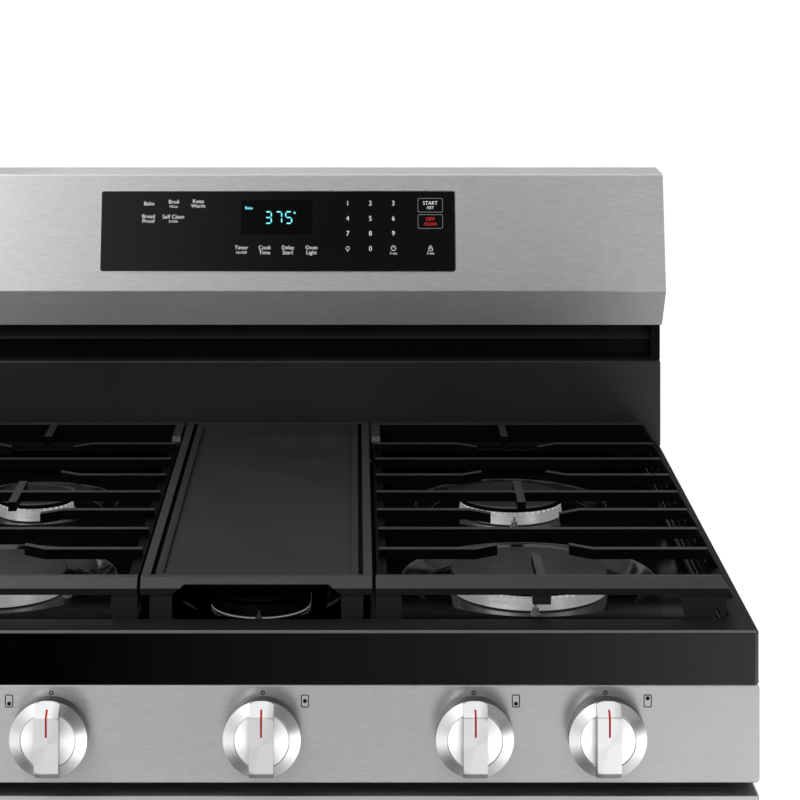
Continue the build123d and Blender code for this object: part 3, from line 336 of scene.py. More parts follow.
# where the painted highlight lies: rolled edges just below the rim's top, and pressed rims by their slant
ROLL_HEIGHT = (3.2 * MM, 2.6 * MM)
ROLL_SLANT = ((0.15, 0.4), (0.97, 0.90))
PRESS_SLANT = ((0.87, 0.90), (0.985, 0.96))
FACING_FRONT = (-0.9, -0.98)
FIELD, FIELD_CLOUD = (0.0010, 0.0010, 0.0011), (0.0015, 0.0015, 0.0016)
RIM_SATIN, EDGE_PAINTED_HIGHLIGHT = (0.0055, 0.0055, 0.0057), (0.075, 0.075, 0.078)
SLANT_GLOSS, LEVEL_GLOSS, RIM_EXTRA_GLOSS = 0.75, 0.07, 0.13
FRONT_RIGHT, FRONT_GLOSS = (-0.15, 0.36), 0.20  # the front's gloss grows from left to right
RIM_EXTRA_ROUGH = 0.38


def cooktop_enamel(name):
    """Black enamel: mirror gloss in the field, satin on the flat rim, and a painted highlight on its rolled edges
    and pressed rims.
    """
    s = Shader(name)
    x, _, z = s.place()
    _, normal_y, normal_z = s.normal()
    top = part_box("cooktop")[1].z
    rim = s.math("MULTIPLY", s.step(z, *(top - depth for depth in RIM_SKIN)),
                 s.step(normal_z, *RIM_LEVEL))
    front = s.step(normal_y, *FACING_FRONT)
    rolled = s.math("MULTIPLY", s.step(z, *(top - depth for depth in ROLL_HEIGHT)),
                    s.band(normal_z, *ROLL_SLANT))
    pressed = s.band(normal_z, *PRESS_SLANT)

    deep = s.mix(s.step(s.noise(9, detail=4), *CLOUD), FIELD, FIELD_CLOUD)
    toned = s.mix(rim, deep, RIM_SATIN)
    # painted highlight: rolled edges and pressed rims get a lighter colour
    s.put("Base Color", s.mix(s.math("MAXIMUM", rolled, pressed), toned, EDGE_PAINTED_HIGHLIGHT))
    s.put("Roughness", s.math("ADD", haze(s, 0.09, 0.15), s.span(rim, 0, 1, 0, RIM_EXTRA_ROUGH)))

    level = s.math("ADD", s.span(normal_z, 0.80, 0.95, SLANT_GLOSS, LEVEL_GLOSS),
                   s.span(rim, 0, 1, 0, RIM_EXTRA_GLOSS))
    elsewhere = s.math("MULTIPLY", level, s.span(front, 0, 1, 1, 0))
    on_front = s.math("MULTIPLY", front, s.span(x, *FRONT_RIGHT, 0.0, FRONT_GLOSS))
    s.put("Specular IOR Level", s.math("ADD", elsewhere, on_front))
    orange_peel(s)
    return s.material


CAST_DARK, CAST_LIGHT = 0.85, 1.2
LIT_TOP_DEPTH = (4.5 * MM, 3 * MM)  # below a grate's top, between which the painted light on its top sets in
FRONT_BAR = (14 * MM, 12 * MM)  # behind a grate's front, between which its front bar begins
# painted light on the sides of a grate's front bar, as a share of its colour
FRONT_BAR_PAINTED_LIGHT = 1.1
FLANK_GLOSS = 0.05


def cast(name, colour, rough, grain=0.35, scale=700, side=0.10, shine=0.55, top=None):
    """Cast iron under matte enamel: sandy grain, with painted light: tops facing up are lighter, and the sides are
    painted dark as shade, with side giving their share of the colour.

    With top set to (height, front), only the upper few millimetres and the front bar get the painted light on
    their tops, and the front bar's sides are painted lighter too."""
    s = Shader(name)
    sand = s.noise(scale, detail=5, rough=0.7)
    patch = s.noise(22, detail=3)
    painted_lit_top = s.step(s.normal()[2], *FACING_UP)
    # painted shade: the sides get only the share of the colour given as side
    flank_painted_light = tint(colour, side)
    if top:
        height, front = top
        _, y, z = s.place()
        near = s.step(y, *(front + depth for depth in FRONT_BAR))
        upper = s.step(z, *(height - depth for depth in LIT_TOP_DEPTH))
        painted_lit_top = s.math("MULTIPLY", painted_lit_top, s.math("MAXIMUM", upper, near))
        flank_painted_light = s.mix(near, flank_painted_light, tint(colour, FRONT_BAR_PAINTED_LIGHT))
    body = s.mix(s.step(patch, *CLOUD), tint(colour, CAST_DARK), tint(colour, CAST_LIGHT))
    s.put("Base Color", s.mix(painted_lit_top, flank_painted_light, body))
    s.put("Roughness", s.span(sand, *FINE, rough - 0.08, rough + 0.12))
    s.put("Specular IOR Level", s.span(painted_lit_top, 0, 1, FLANK_GLOSS, shine))
    s.bump(sand, grain, 0.12 * MM)
    s.bump(patch, 0.08, 0.6 * MM)
    return s.material


def plastic(name, colour, rough, grain=0.15, scale=1800):
    """Moulded plastic or powder coat: fine texture and a little colour variation."""
    s = Shader(name)
    fine = s.noise(scale, detail=3)
    s.put("Base Color", s.mix(s.noise(30), tint(colour, 0.92), tint(colour, 1.1)))
    s.put("Roughness", s.span(fine, *FINE, rough - 0.05, rough + 0.08))
    s.bump(fine, grain, 0.05 * MM)
    return s.material


ZINC = (0.42, 0.43, 0.45)


def zinc(name):
    """Galvanised sheet with its crystal spangle."""
    s = Shader(name)
    spangle = s.cells(110)
    s.put("Base Color", s.mix(s.step(spangle, 0.1, 0.7), tint(ZINC, 0.85), tint(ZINC, 1.2)))
    s.put("Metallic", 0.9)
    s.put("Roughness", s.span(spangle, 0.1, 0.8, 0.36, 0.55))
    s.bump(s.noise(500), 0.08, 0.1 * MM)
    return s.material


def glass_black(name, gloss=0.35):
    """Back-painted touch glass: near black, mirror gloss, faint wipe marks."""
    s = Shader(name)
    s.put("Base Color", s.mix(s.noise(6), (0.0025, 0.0025, 0.003), (0.004, 0.004, 0.0045)))
    wipe = s.noise(3, (1, 6, 18), detail=4)
    s.put("Roughness", s.span(wipe, *CLOUD, 0.035, 0.11))
    s.put("Specular IOR Level", gloss)
    return s.material


def pane(name, colour, clear):
    """Oven window glass, tinted, with light wipe marks."""
    s = Shader(name)
    s.put("Base Color", s.mix(s.noise(4), colour, tint(colour, 1.3)))
    s.put("Roughness", s.span(s.noise(5, (1, 4, 12), detail=4), *CLOUD, 0.02, 0.08))
    s.put("Transmission Weight", clear)
    s.put("IOR", 1.5)
    return s.material


def wool(name):
    """Glass wool: fluffy yellow fibre."""
    s = Shader(name)
    fluff = s.noise(260, (1, 3, 1), detail=6, rough=0.75)
    s.put("Base Color", s.mix(s.step(fluff, *FINE), (0.52, 0.42, 0.16), (0.86, 0.78, 0.45)))
    s.put("Roughness", 0.95)
    s.put("Sheen Weight", 0.4)
    s.bump(fluff, 0.9, 2 * MM)
    return s.material


def rope(name):
    """Braided glass-fibre rope of the oven seal."""
    s = Shader(name)
    braid = s.add("ShaderNodeTexWave", wave_type="BANDS", bands_direction="DIAGONAL")
    braid.inputs["Scale"].default_value = 160
    braid.inputs["Distortion"].default_value = 1.5
    feed(s.tree, braid.inputs["Vector"], s.coords)
    weave = braid.outputs["Fac"]
    s.put("Base Color", s.mix(weave, (0.10, 0.10, 0.10), (0.30, 0.29, 0.27)))
    s.put("Roughness", 0.9)
    s.bump(weave, 0.6, 0.6 * MM)
    return s.material


def ink(name, colour, glow=0.0):
    """Printed or lit mark, very slightly uneven like screen print; a glow on a printed mark is a painted glow."""
    s = Shader(name)
    s.put("Base Color", s.mix(s.noise(900), tint(colour, 0.88), colour))
    s.put("Roughness", s.span(s.noise(300), *FINE, 0.5, 0.65))
    s.put("Specular IOR Level", 0.15)
    if glow:
        s.put("Emission Color", s.mix(s.noise(1200), tint(colour, 0.85), colour))
        s.put("Emission Strength", glow)
    return s.material


HEAD_PAINTED_GLOW = 0.26  # a painted glow that stands in for light that bounces between the head and its bowl
OVAL_HALF = (90 * MM, 80 * MM)  # the oval head lies within this distance of the middle
OVAL_FOOT = (0.8 * MM, 1.3 * MM)  # its bright foot ends between these heights


def burner_alloy(name):
    """Machined aluminium of the round heads with a painted glow; the oval centre head is dark above its foot."""
    s = Shader(name)
    x, _, z = s.place()
    around = s.vector_math("CROSS_PRODUCT", s.facing(), (0, 0.001, 1)).outputs[0]
    lines = s.noise(1, (12, 12, TURNED_LINES), detail=3)
    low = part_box("burner_heads")[0].z
    centre = s.math("MULTIPLY", s.step(s.math("ABSOLUTE", x), *OVAL_HALF),
                    s.step(z, *(low + rise for rise in OVAL_FOOT)))
    metal = s.mix(s.step(lines, *FINE), (0.74, 0.74, 0.76), (0.86, 0.86, 0.88))
    s.put("Base Color", s.mix(centre, metal, (0.012, 0.012, 0.012)))
    s.put("Emission Color", metal)
    s.put("Emission Strength", s.span(centre, 0, 1, HEAD_PAINTED_GLOW, 0))
    s.put("Metallic", s.span(centre, 0, 1, 1, 0))
    s.put("Roughness", s.span(lines, *FINE, 0.24, 0.34))
    s.brush(0.6, around)
    s.bump(lines, 0.12, 0.03 * MM)
    return s.material


# ---------------------------------------------------------------- pieces
def add_object(name, data):
    obj = bpy.data.objects.new(name, data)
    bpy.context.scene.collection.objects.link(obj)
    return obj


def set_material(obj, material):
    obj.data.materials.clear()
    obj.data.materials.append(material)


def piece(name, bm, material, body):
    """Turns a bmesh into one piece with outward normals that rides on a body."""
    bmesh.ops.recalc_face_normals(bm, faces=bm.faces)
    mesh = bpy.data.meshes.new(name)
    bm.to_mesh(mesh)
    bm.free()
    obj = add_object(name, mesh)
    set_material(obj, material)
    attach(obj, body)


def place_matrix(origin, right, up):
    """A frame whose X runs along right, Y along up and Z out of the surface."""
    out = right.cross(up)
    rotation = Matrix((right, up, out)).transposed().to_4x4()
    return Matrix.Translation(origin) @ rotation


def circle(radius, steps):
    """Points all around a circle, anticlockwise."""
    angles = (2 * math.pi * i / steps for i in range(steps))
    return [radius * Vector((math.cos(a), math.sin(a))) for a in angles]


def rounded_rectangle(width, height, radius, steps=5):
    """Corner-rounded outline, anticlockwise, centred on zero."""
    points = []
    for corner, (sx, sy) in enumerate(((1, 1), (-1, 1), (-1, -1), (1, -1))):
        centre = Vector((sx * (width / 2 - radius), sy * (height / 2 - radius)))
        for step in range(steps + 1):
            angle = math.pi / 2 * (corner + step / steps)
            points.append(centre + radius * Vector((math.cos(angle), math.sin(angle))))
    return points


def outward(outline):
    """Unit normals at the points of a flat, closed, anticlockwise outline."""
    normals = []
    for before, after in zip(outline[-1:] + outline[:-1], outline[1:] + outline[:1]):
        along = (after - before).normalized()
        normals.append(Vector((along.y, -along.x)))
    return normals


def join_rings(bm, a, b):
    """A closed band of faces between two rings of as many points."""
    for i in range(len(a)):
        j = (i + 1) % len(a)
        bm.faces.new((a[i], a[j], b[j], b[i]))


def add_outline(bm, matrix, outline, width, height):
    """A closed raised line that follows an outline."""
    rings = []
    for side, z in ((0.5, 0), (-0.5, 0), (-0.5, height), (0.5, height)):
        flat = [p + n * width * side for p, n in zip(outline, outward(outline))]
        rings.append([bm.verts.new(matrix @ Vector((p.x, p.y, z))) for p in flat])
    for a, b in zip(rings, rings[1:] + rings[:1]):
        join_rings(bm, a, b)


def add_plate(bm, matrix, outline, height):
    """A thin closed plate with the given outline."""
    low, high = ([bm.verts.new(matrix @ Vector((p.x, p.y, z))) for p in outline]
                 for z in (0, height))
    bm.faces.new(low[::-1])
    bm.faces.new(high)
    join_rings(bm, low, high)


LETTER_HALF = 0.03 * MM  # half the thickness of a printed letter
LETTER_STEPS = 3
WELD_LETTER = 1e-7


def add_text(bm, matrix, words, size):
    """Closed letter shapes, centred on the matrix."""
    curve = bpy.data.curves.new("letters", "FONT")
    curve.body = words
    curve.size = size
    curve.align_x = "CENTER"
    curve.align_y = "CENTER"
    curve.extrude = LETTER_HALF
    curve.resolution_u = LETTER_STEPS
    obj = add_object("letters", curve)
    bpy.context.view_layer.update()
    mesh = bpy.data.meshes.new_from_object(obj)
    mesh.transform(matrix @ Matrix.Translation((0, 0, LETTER_HALF)))
    bm.from_mesh(mesh)
    bmesh.ops.remove_doubles(bm, verts=bm.verts, dist=WELD_LETTER)
    bpy.data.objects.remove(obj)
    bpy.data.meshes.remove(mesh)
    bpy.data.curves.remove(curve)


# ---------------------------------------------------------------- touch glass
# places on the glass are millimetres to the right of its centre and up its slope
GLASS_THICK = 4.0 * MM
GLASS_LOW, GLASS_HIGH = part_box("touch_glass")
GLASS_FACE = (GLASS_LOW + GLASS_HIGH) / 2 + SLOPE_OUT * GLASS_THICK / 2
INK_LIFT = 0.06 * MM
PRINT = 0.04 * MM  # thickness of a printed line


def on_glass(x, up):
    """A frame just above the glass."""
    spot = GLASS_FACE + RIGHT * x * MM + SLOPE_UP * up * MM + SLOPE_OUT * INK_LIFT
    return place_matrix(spot, RIGHT, SLOPE_UP)


LABEL, SMALL, DIGIT = 5.4 * MM, 3.6 * MM, 6.6 * MM
KEY_LARGE, KEY_SMALL = 5.0 * MM, 4.0 * MM
LABELS = (
    (-127.0, 26.7, "Bake", LABEL),
    (-102.7, 28.4, "Broil", LABEL), (-102.7, 23.9, "Hi/Lo", SMALL),
    (-78.6, 29.0, "Keep", LABEL), (-78.6, 24.4, "Warm", LABEL),
    (-127.5, 14.2, "Bread", LABEL), (-127.5, 9.6, "Proof", LABEL),
    (-103.0, 13.8, "Self Clean", LABEL), (-103.0, 9.3, "2/3/5h", SMALL),
    (-35.8, -16.2, "Timer", LABEL), (-35.8, -21.0, "On/Off", SMALL),
    (-13.0, -16.2, "Cook", LABEL), (-13.0, -21.0, "Time", LABEL),
    (9.8, -16.2, "Delay", LABEL), (9.8, -21.0, "Start", LABEL),
    (32.9, -16.2, "Oven", LABEL), (32.9, -21.0, "Light", LABEL),
    (113.3, -21.6, "3 sec", SMALL), (149.7, -21.6, "3 sec", SMALL),
    (149.65, 27.2, "START", KEY_LARGE), (149.65, 22.7, "/SET", KEY_SMALL),
)
KEYPAD_X = (68.4, 90.7, 113.3)
KEYPAD_UP = (27.0, 12.1, -2.5, -17.2)
KEYPAD = ("123", "456", "789", " 0 ")

BOX_X, BOX_UP = 149.65, (25.2, 9.3)
BOX = rounded_rectangle(24.2 * MM, 13.4 * MM, 1.4 * MM)
BOX_LINE = 0.55 * MM
OFF_LABELS = ((BOX_X, 11.5, "OFF", KEY_LARGE), (BOX_X, 6.8, "/CLEAR", KEY_SMALL))

ICON_LINE = 0.45 * MM
OUTLINE_ICONS = (
    (68.4, -16.7, circle(1.7 * MM, 24)),  # lamp
    (113.3, -16.7, circle(2.3 * MM, 28)),  # clock
    (149.65, -17.8, rounded_rectangle(3.6 * MM, 2.8 * MM, 0.5 * MM)),  # padlock
    (149.65, -15.5, circle(1.25 * MM, 20)),  # its shackle
)
SOLID_ICONS = (
    (68.4, -19.4, rounded_rectangle(1.7 * MM, 0.8 * MM, 0.2 * MM)),  # lamp's socket
    (113.3, -16.0, rounded_rectangle(0.4 * MM, 1.6 * MM, 0.15 * MM)),  # clock's hand
)


def add_labels(bm, labels):
    for x, up, words, size in labels:
        add_text(bm, on_glass(x, up), words, size)


def build_glass_print(white, grey, red):
    bm = bmesh.new()
    add_labels(bm, LABELS)
    for up, digits in zip(KEYPAD_UP, KEYPAD):
        add_labels(bm, ((x, up, digit, DIGIT) for x, digit in zip(KEYPAD_X, digits)
                        if digit != " "))
    for x, up, outline in OUTLINE_ICONS:
        add_outline(bm, on_glass(x, up), outline, ICON_LINE, PRINT)
    for x, up, outline in SOLID_ICONS:
        add_plate(bm, on_glass(x, up), outline, PRINT)
    piece("glass_print", bm, white, "chassis")
    bm = bmesh.new()
    for up in BOX_UP:
        add_outline(bm, on_glass(BOX_X, up), BOX, BOX_LINE, PRINT)
    piece("key_outlines", bm, grey, "chassis")
    bm = bmesh.new()
    add_labels(bm, OFF_LABELS)
    piece("off_print", bm, red, "chassis")


# segments of one digit: (x, up, across?) in units of the digit's half width and half height
SEGMENTS = {
    "a": (0, 1, True), "g": (0, 0, True), "d": (0, -1, True),
    "f": (-1, 0.5, False), "b": (1, 0.5, False), "e": (-1, -0.5, False), "c": (1, -0.5, False),
}
DIGITS = {"3": "abgcd", "7": "abc", "5": "afgcd"}
DIGIT_HALF_WIDTH, DIGIT_HALF_HEIGHT, STROKE = 2.9, 5.6, 1.15
SEGMENT_GAP = STROKE * 1.15  # how much shorter a segment is than the side it lies on

WINDOW_AT, WINDOW_THICK = (-1.2, 13.3), 0.02 * MM
WINDOW = rounded_rectangle(70.3 * MM, 33.4 * MM, 1.0 * MM)
READING = ((-9.6, "3"), (0.6, "7"), (10.4, "5"))
READING_UP = 13.2
DEGREE_AT, DEGREE_LINE = (16.2, 17.8), 0.5 * MM
MODE_LABEL = ((-28.8, 22.4, "Bake", KEY_SMALL),)


def add_digit(bm, x, up, digit):
    """One seven-segment digit made of pointed bars."""
    for name in DIGITS[digit]:
        sx, sy, across = SEGMENTS[name]
        length = (DIGIT_HALF_WIDTH * 2 if across else DIGIT_HALF_HEIGHT) - SEGMENT_GAP
        half, tip = length / 2 * MM, STROKE / 2 * MM
        bar = [(-half, 0), (tip - half, -tip), (half - tip, -tip),
               (half, 0), (half - tip, tip), (tip - half, tip)]
        outline = [Vector(p) if across else Vector((-p[1], p[0])) for p in bar]
        spot = on_glass(x + sx * DIGIT_HALF_WIDTH, up + sy * DIGIT_HALF_HEIGHT)
        add_plate(bm, spot, outline, PRINT)


def build_display(window, cyan):
    bm = bmesh.new()
    add_plate(bm, on_glass(*WINDOW_AT), WINDOW, WINDOW_THICK)
    piece("display_window", bm, window, "chassis")
    bm = bmesh.new()
    for x, digit in READING:
        add_digit(bm, x, READING_UP, digit)
    add_outline(bm, on_glass(*DEGREE_AT), circle(0.8 * MM, 16), DEGREE_LINE, PRINT)
    add_labels(bm, MODE_LABEL)
    piece("display_digits", bm, cyan, "chassis")


LIP_GAP = 0.9 * MM
LIP_SUNK = 0.75 * MM
LIP_WIDTH, LIP_HEIGHT = 0.8 * MM, 0.55 * MM


def build_glass_lip(bright):
    """Polished bead of the housing's opening around the glass."""
    width = GLASS_HIGH.x - GLASS_LOW.x + LIP_GAP
    rise = (GLASS_HIGH.z - GLASS_LOW.z) * SLOPE_LENGTH / SLOPE_RISE
    outline = rounded_rectangle(width, rise, 2.8 * MM, 8)
    bm = bmesh.new()
    seat = place_matrix(GLASS_FACE - SLOPE_OUT * LIP_SUNK, RIGHT, SLOPE_UP)
    add_outline(bm, seat, outline, LIP_WIDTH, LIP_HEIGHT)
    piece("glass_lip", bm, bright, "chassis")


# ---------------------------------------------------------------- fascia marks and knob pointers
FASCIA_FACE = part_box("knob_fascia")[0].y
PRINT_GAP = 0.02 * MM
OFF_RISE = 28.7 * MM  # the small off ring, above a knob's axis
OFF_RING, OFF_LINE = circle(1.3 * MM, 24), 0.85 * MM
ICON_RISE, ICON_SIDE = 22.4 * MM, 31.7 * MM  # a burner icon, from a knob's axis
ICON_FRAME, ICON_FRAME_LINE = rounded_rectangle(5.4 * MM, 9.0 * MM, 1.0 * MM), 0.75 * MM
ICON_DOT = circle(1.55 * MM, 24)
# where the burner sits in its icon: front low, rear high
DOT_RISE = {"left_rear": 2.0, "left_front": -2.0, "centre": 0.0,
            "right_front": -2.0, "right_rear": 2.0}


def on_fascia(x, z):
    return place_matrix(Vector((x, FASCIA_FACE - PRINT_GAP, z)), RIGHT, UP)


def build_fascia_print(black):
    bm = bmesh.new()
    for place, axis in KNOB_AXIS.items():
        add_outline(bm, on_fascia(axis.x, axis.z + OFF_RISE), OFF_RING, OFF_LINE, PRINT)
        x = axis.x + (-ICON_SIDE if place.startswith("left") else ICON_SIDE)
        z = axis.z + ICON_RISE
        add_outline(bm, on_fascia(x, z), ICON_FRAME, ICON_FRAME_LINE, PRINT)
        add_plate(bm, on_fascia(x, z + DOT_RISE[place] * MM), ICON_DOT, PRINT)
    piece("fascia_print", bm, black, "chassis")


# the pointer's path over a knob's grip, in millimetres up from the axis and out from the fascia
POINTER = ((6.2, 32.06), (20.14, 32.06), (20.67, 31.97),
           (21.14, 31.7), (21.49, 31.29), (24.8, 25.63))
POINTER_HALF = Vector((0.75 * MM, 0, 0))
POINTER_SINK = Vector((0, 0.3 * MM, -0.1 * MM))


def build_pointer(place, red):
    """A painted line that runs up the grip's face and over its sloped end."""
    bm = bmesh.new()
    rows = []
    for rise, reach in POINTER:
        spot = KNOB_AXIS[place] + Vector((0, -reach * MM, rise * MM))
        inner = spot + POINTER_SINK
        rows.append([bm.verts.new(p) for p in (spot - POINTER_HALF, spot + POINTER_HALF,
                                               inner + POINTER_HALF, inner - POINTER_HALF)])
    for a, b in zip(rows, rows[1:]):
        join_rings(bm, a, b)
    bm.faces.new(rows[0][::-1])
    bm.faces.new(rows[-1])
    piece("pointer_" + place, bm, red, "knob_" + place)


# ---------------------------------------------------------------- looks of the CAD nodes
STEEL = (0.70, 0.70, 0.715)
FASCIA_STEEL = (0.66, 0.66, 0.677)
KNOB_METAL = (0.97, 0.97, 0.975)
NEAR_BLACK = (0.014, 0.014, 0.0145)


def slot_materials():
    """The material of each slot name that the record uses."""
    low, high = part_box("grate_centre")
    return {
        "stainless": brushed("stainless", STEEL, 0.40, underside=0.22),
        "black_enamel": cooktop_enamel("black_enamel"),
        "panel_paint": plastic("side_paint", (0.012, 0.012, 0.013), 0.38, grain=0.3, scale=900),
        "galvanised": zinc("galvanised"),
        "cast_grate": cast("grate_iron", (0.017, 0.017, 0.0185), 0.42, top=(high.z, low.y)),
        "griddle_coat": cast("griddle_coating", (0.014, 0.014, 0.015), 0.45, grain=0.12,
                             scale=1500, side=0.5, shine=0.3),
        "cap_enamel": cast("cap_enamel", NEAR_BLACK, 0.45, grain=0.2),
        "trim_dark": plastic("dark_trim", (0.085, 0.085, 0.09), 0.38),
        "black_glass": glass_black("touch_glass"),
        "window_glass": pane("window_glass", (0.004, 0.004, 0.005), 0.35),
        "clear_glass": pane("inner_glass", (0.75, 0.8, 0.78), 0.95),
        "oven_enamel": enamel("oven_enamel", (0.02, 0.022, 0.032), 0.22, specks=0.8),
        "wool": wool("glass_wool"),
        "gasket_rope": rope("gasket_rope"),
        "chrome_wire": brushed("chrome_wire", (0.78, 0.78, 0.80), 0.16, depth=0.08),
        "brass": brushed("brass", (0.72, 0.52, 0.22), 0.3),
        "tube_alloy": brushed("drawn_tube", (0.72, 0.72, 0.74), 0.28),
        "board": plastic("circuit_board", (0.01, 0.09, 0.04), 0.4),
        # the white ceramic pins are painted dark grey as shade from their bowls
        "ceramic_pin": plastic("ceramic", (0.20, 0.195, 0.18), 0.3, grain=0.05),
        "cord_rubber": plastic("cord_rubber", (0.012, 0.012, 0.012), 0.6),
        "foot_zinc": zinc("zinc_plate"),
        "die_cast": turned_metal("die_cast", (0, 0, 0), (0.42, 0.42, 0.44), 0.5, axis=UP),
        "burner_alloy": burner_alloy("burner_alloy"),
    }


def dress_nodes():
    by_slot = slot_materials()
    by_node = {
        "knob_fascia": brushed("fascia_steel", FASCIA_STEEL, 0.40),
        "backguard_frame": cast("frame_enamel", NEAR_BLACK, 0.34, grain=0.05, side=0.2,
                                shine=0.4),
        "backguard_lower_panel": enamel("panel_enamel", (0.013, 0.013, 0.0135), 0.34, gloss=0.35),
    }
    for place, axis in KNOB_AXIS.items():
        by_node["knob_" + place] = turned_metal("knob_metal_" + place, axis, KNOB_METAL, 0.32,
                                                knob=True)
    for part in frame["record"]["subparts"]:
        name, slot = part["node"], part["material_slot"]
        if name in by_node:
            set_material(NODES[name], by_node[name])
        elif slot in by_slot:
            set_material(NODES[name], by_slot[slot])


SOFT_EDGES = {"grate_left": 0.9 * MM, "grate_centre": 0.9 * MM, "grate_right": 0.9 * MM,
              "griddle": 0.4 * MM, "cooktop": 0.9 * MM}
WELD_CAD = 0.02 * MM
FLAT_ANGLE, EDGE_ANGLE = math.radians(0.6), math.radians(28)
EDGE_SEGMENTS = 3


def soften(name, width):
    """Rounds a CAD node's hard edges a little, as its casting or folding would."""
    obj = NODES[name]
    weld = obj.modifiers.new("weld", "WELD")
    weld.merge_threshold = WELD_CAD
    flat = obj.modifiers.new("flat", "DECIMATE")
    flat.decimate_type = "DISSOLVE"
    flat.angle_limit = FLAT_ANGLE
    bevel = obj.modifiers.new("bevel", "BEVEL")
    bevel.width = width
    bevel.segments = EDGE_SEGMENTS
    bevel.limit_method = "ANGLE"
    bevel.angle_limit = EDGE_ANGLE
    bevel.harden_normals = True


# ---------------------------------------------------------------- stage
# brightness of the room that mirror-like surfaces see, by the direction of the ray
GROUND, LEFT_WALL, PANEL, RIGHT_WALL = 0.10, 0.95, 2.5, 1.15
CEILING, OVERHEAD = 0.62, 0.55
REAR_LOW, REAR_LEVEL, REAR_HIGH = 0.65, 0.02, 0.6
ROOM = 0.6  # for light that isn't mirrored
BACKDROP = 1.0  # for the camera

# zones that change from left to right: X where the change begins and ends, then the brightness
EYE_LEVEL = (-0.18, 0.02, 0.55, 0.07)
BAND = (-0.20, 0.0, 1.2, 0.10)
SKY = (-0.30, 0.25, 1.30, 0.80)

# where one zone gives way to the next: along X, then along Z from low to high, then along Y
PANEL_BEGINS, PANEL_ENDS = (0.02, 0.20), (0.40, 0.56)
GROUND_ENDS, WALL_ENDS, EYE_LEVEL_ENDS = (-0.74, -0.50), (-0.24, -0.12), (0.14, 0.24)
BAND_ENDS, SKY_ENDS, CEILING_ENDS = (0.36, 0.50), (0.56, 0.70), (0.90, 0.99)
REAR_LOW_ENDS, REAR_LEVEL_ENDS = (-0.20, -0.04), (0.42, 0.80)
FRONT_ENDS = (-0.05, 0.25)


def build_world():
    """White studio. Mirror-like surfaces see soft panels: bright above, dim at eye level."""
    world = bpy.data.worlds.new("studio")
    bpy.context.scene.world = world
    world.use_nodes = True
    tree = world.node_tree
    split = tree.nodes.new("ShaderNodeSeparateXYZ")
    feed(tree, split.inputs[0], tree.nodes.new("ShaderNodeTexCoord").outputs["Generated"])
    x, y, z = split.outputs
    ray = tree.nodes.new("ShaderNodeLightPath").outputs

    def ramp(value, begin, end, before, after):
        """A smooth change from one number to another as a value goes from begin to end."""
        node = add_range(tree, value, begin, end, before, after)
        node.interpolation_type = "SMOOTHSTEP"
        return node.outputs["Result"]

    def blend(factor, before, after):
        node = tree.nodes.new("ShaderNodeMix")
        for index, value in zip(MIX_VALUE_INPUTS, (factor, before, after)):
            feed(tree, node.inputs[index], value)
        return node.outputs[0]

    def change(value, edge, before, after):
        """One zone up to an edge and another past it."""
        return blend(ramp(value, *edge, 0, 1), before, after)

    wall = change(x, PANEL_BEGINS, LEFT_WALL, PANEL)
    wall = change(x, PANEL_ENDS, wall, RIGHT_WALL)
    front = change(z, GROUND_ENDS, GROUND, wall)
    front = change(z, WALL_ENDS, front, ramp(x, *EYE_LEVEL))
    front = change(z, EYE_LEVEL_ENDS, front, ramp(x, *BAND))
    front = change(z, BAND_ENDS, front, change(z, SKY_ENDS, ramp(x, *SKY), CEILING))
    front = change(z, CEILING_ENDS, front, OVERHEAD)
    rear = change(z, REAR_LEVEL_ENDS, REAR_LEVEL, REAR_HIGH)
    rear = change(z, REAR_LOW_ENDS, REAR_LOW, rear)
    mirrored = change(y, FRONT_ENDS, front, rear)
    seen = blend(ray["Is Glossy Ray"], ROOM, mirrored)
    feed(tree, tree.nodes["Background"].inputs["Color"],
         blend(ray["Is Camera Ray"], seen, BACKDROP))


FLOOR_LIFT = 0.48  # brings the pale floor up to white around the object, but not its shadow
FLOOR_REACH, FLOOR_SLICES = 40.0, 64
FLOOR_Z = -0.5 * MM


def build_floor():
    """A pale disc just under the feet."""
    bm = bmesh.new()
    rim = circle(FLOOR_REACH, FLOOR_SLICES)
    bm.faces.new([bm.verts.new((p.x, p.y, FLOOR_Z)) for p in rim])
    mesh = bpy.data.meshes.new("floor")
    bm.to_mesh(mesh)
    bm.free()
    floor = add_object("floor", mesh)
    s = Shader("pale_floor")
    s.put("Base Color", s.mix(s.noise(1.5), (0.93, 0.93, 0.93), (0.96, 0.96, 0.96)))
    s.put("Roughness", 0.8)
    s.put("Specular IOR Level", 0.1)
    s.put("Emission Color", (1.0, 1.0, 1.0))
    seen = s.add("ShaderNodeLightPath").outputs["Is Camera Ray"]
    s.put("Emission Strength", s.math("MULTIPLY", seen, FLOOR_LIFT))
    set_material(floor, s.material)
    floor.visible_glossy = False


LIGHT_AIM = Vector((0, 0, 0.9))
LIGHTS = (  # name, place, width and depth, watts
    ("key", (-1.6, -1.6, 3.2), (1.8, 1.2), 38),
    ("fill", (2.4, -2.2, 2.0), (1.6, 1.6), 12),
    ("top", (0, 0.2, 3.6), (2.6, 1.4), 13),
    ("back", (0.5, 3.0, 2.4), (2.4, 1.6), 4),
)


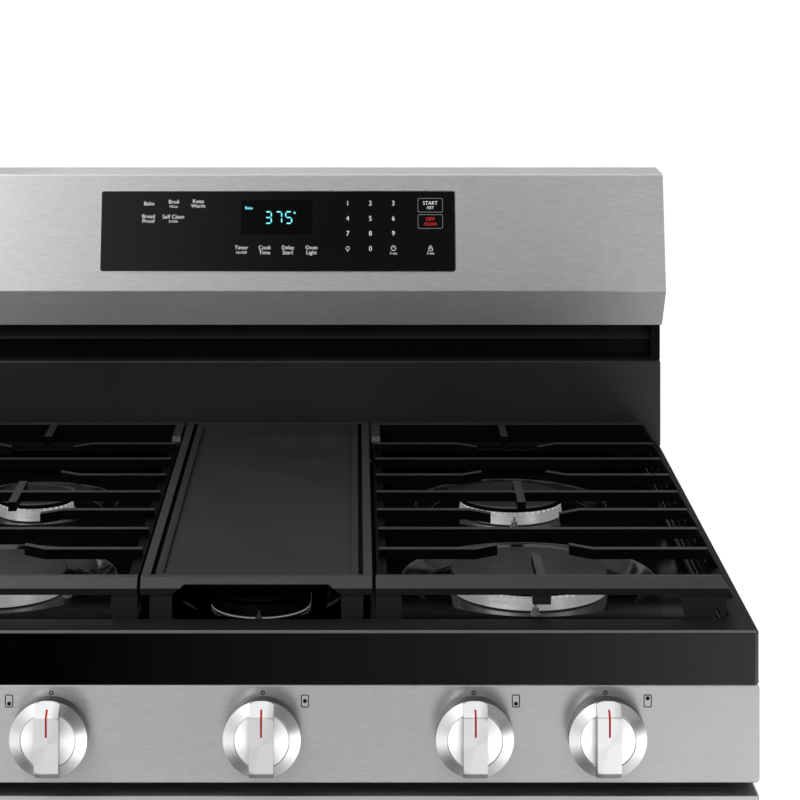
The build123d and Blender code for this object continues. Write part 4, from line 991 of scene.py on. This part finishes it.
def build_lights():
    for name, place, size, power in LIGHTS:
        data = bpy.data.lights.new(name, "AREA")
        data.shape = "RECTANGLE"
        data.size, data.size_y = size
        data.energy = power
        lamp = add_object(name, data)
        lamp.location = place
        lamp.rotation_euler = (LIGHT_AIM - Vector(place)).to_track_quat("-Z", "Y").to_euler()


# the eye: in front of the cooktop's front, right of centre, above the cooktop's rim
EYE_AHEAD, EYE_RIGHT, EYE_ABOVE = 1.810, 0.0756, 0.5675
FOCAL = 3.01375  # focal length over picture width
LENS_RISE, LENS_SIDE = -0.217752, 0.018664  # how far the level lens is shifted, over focal length
SENSOR = 36.0
CLIP = (0.05, 200)


def build_camera():
    """A level camera with a shifted lens. The shift is a shear held by the camera's parent."""
    data = bpy.data.cameras.new("camera")
    camera = add_object("camera", data)
    stretch = math.sqrt(1 + LENS_SIDE ** 2 + LENS_RISE ** 2)
    data.sensor_width = SENSOR
    data.lens = SENSOR * FOCAL * stretch
    data.clip_start, data.clip_end = CLIP
    back = Vector((0, -1, 0))
    axis = (back - RIGHT * LENS_SIDE - UP * LENS_RISE) / stretch
    low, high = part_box("cooktop")
    eye = Vector((EYE_RIGHT, low.y - EYE_AHEAD, high.z + EYE_ABOVE))
    camera.parent = add_object("lens_shift", None)
    shear = Matrix((RIGHT, UP, axis)).transposed().to_4x4()
    camera.matrix_parent_inverse = Matrix.Translation(eye) @ shear
    bpy.context.scene.camera = camera


# ---------------------------------------------------------------- build
dress_nodes()
# the white and red prints get a painted glow
build_glass_print(
    white=ink("ink_white", (0.80, 0.80, 0.80), 0.22),
    grey=ink("ink_grey", (0.20, 0.23, 0.225)),
    red=ink("ink_red", (0.75, 0.03, 0.03), 0.25),
)
build_display(
    window=glass_black("display_black", 0.08),
    cyan=ink("display_cyan", (0.16, 0.78, 0.88), 1.1),
)
build_glass_lip(brushed("lip_steel", (0.8, 0.8, 0.81), 0.15, depth=0.05))
build_fascia_print(ink("ink_black", (0.003, 0.003, 0.003)))
pointer_red = ink("pointer_red", (0.42, 0.006, 0.006))
for place in PLACES:
    build_pointer(place, pointer_red)
for name, width in SOFT_EDGES.items():
    soften(name, width)

build_world()
build_floor()
build_lights()
build_camera()
bpy.context.scene.view_settings.view_transform = "Standard"
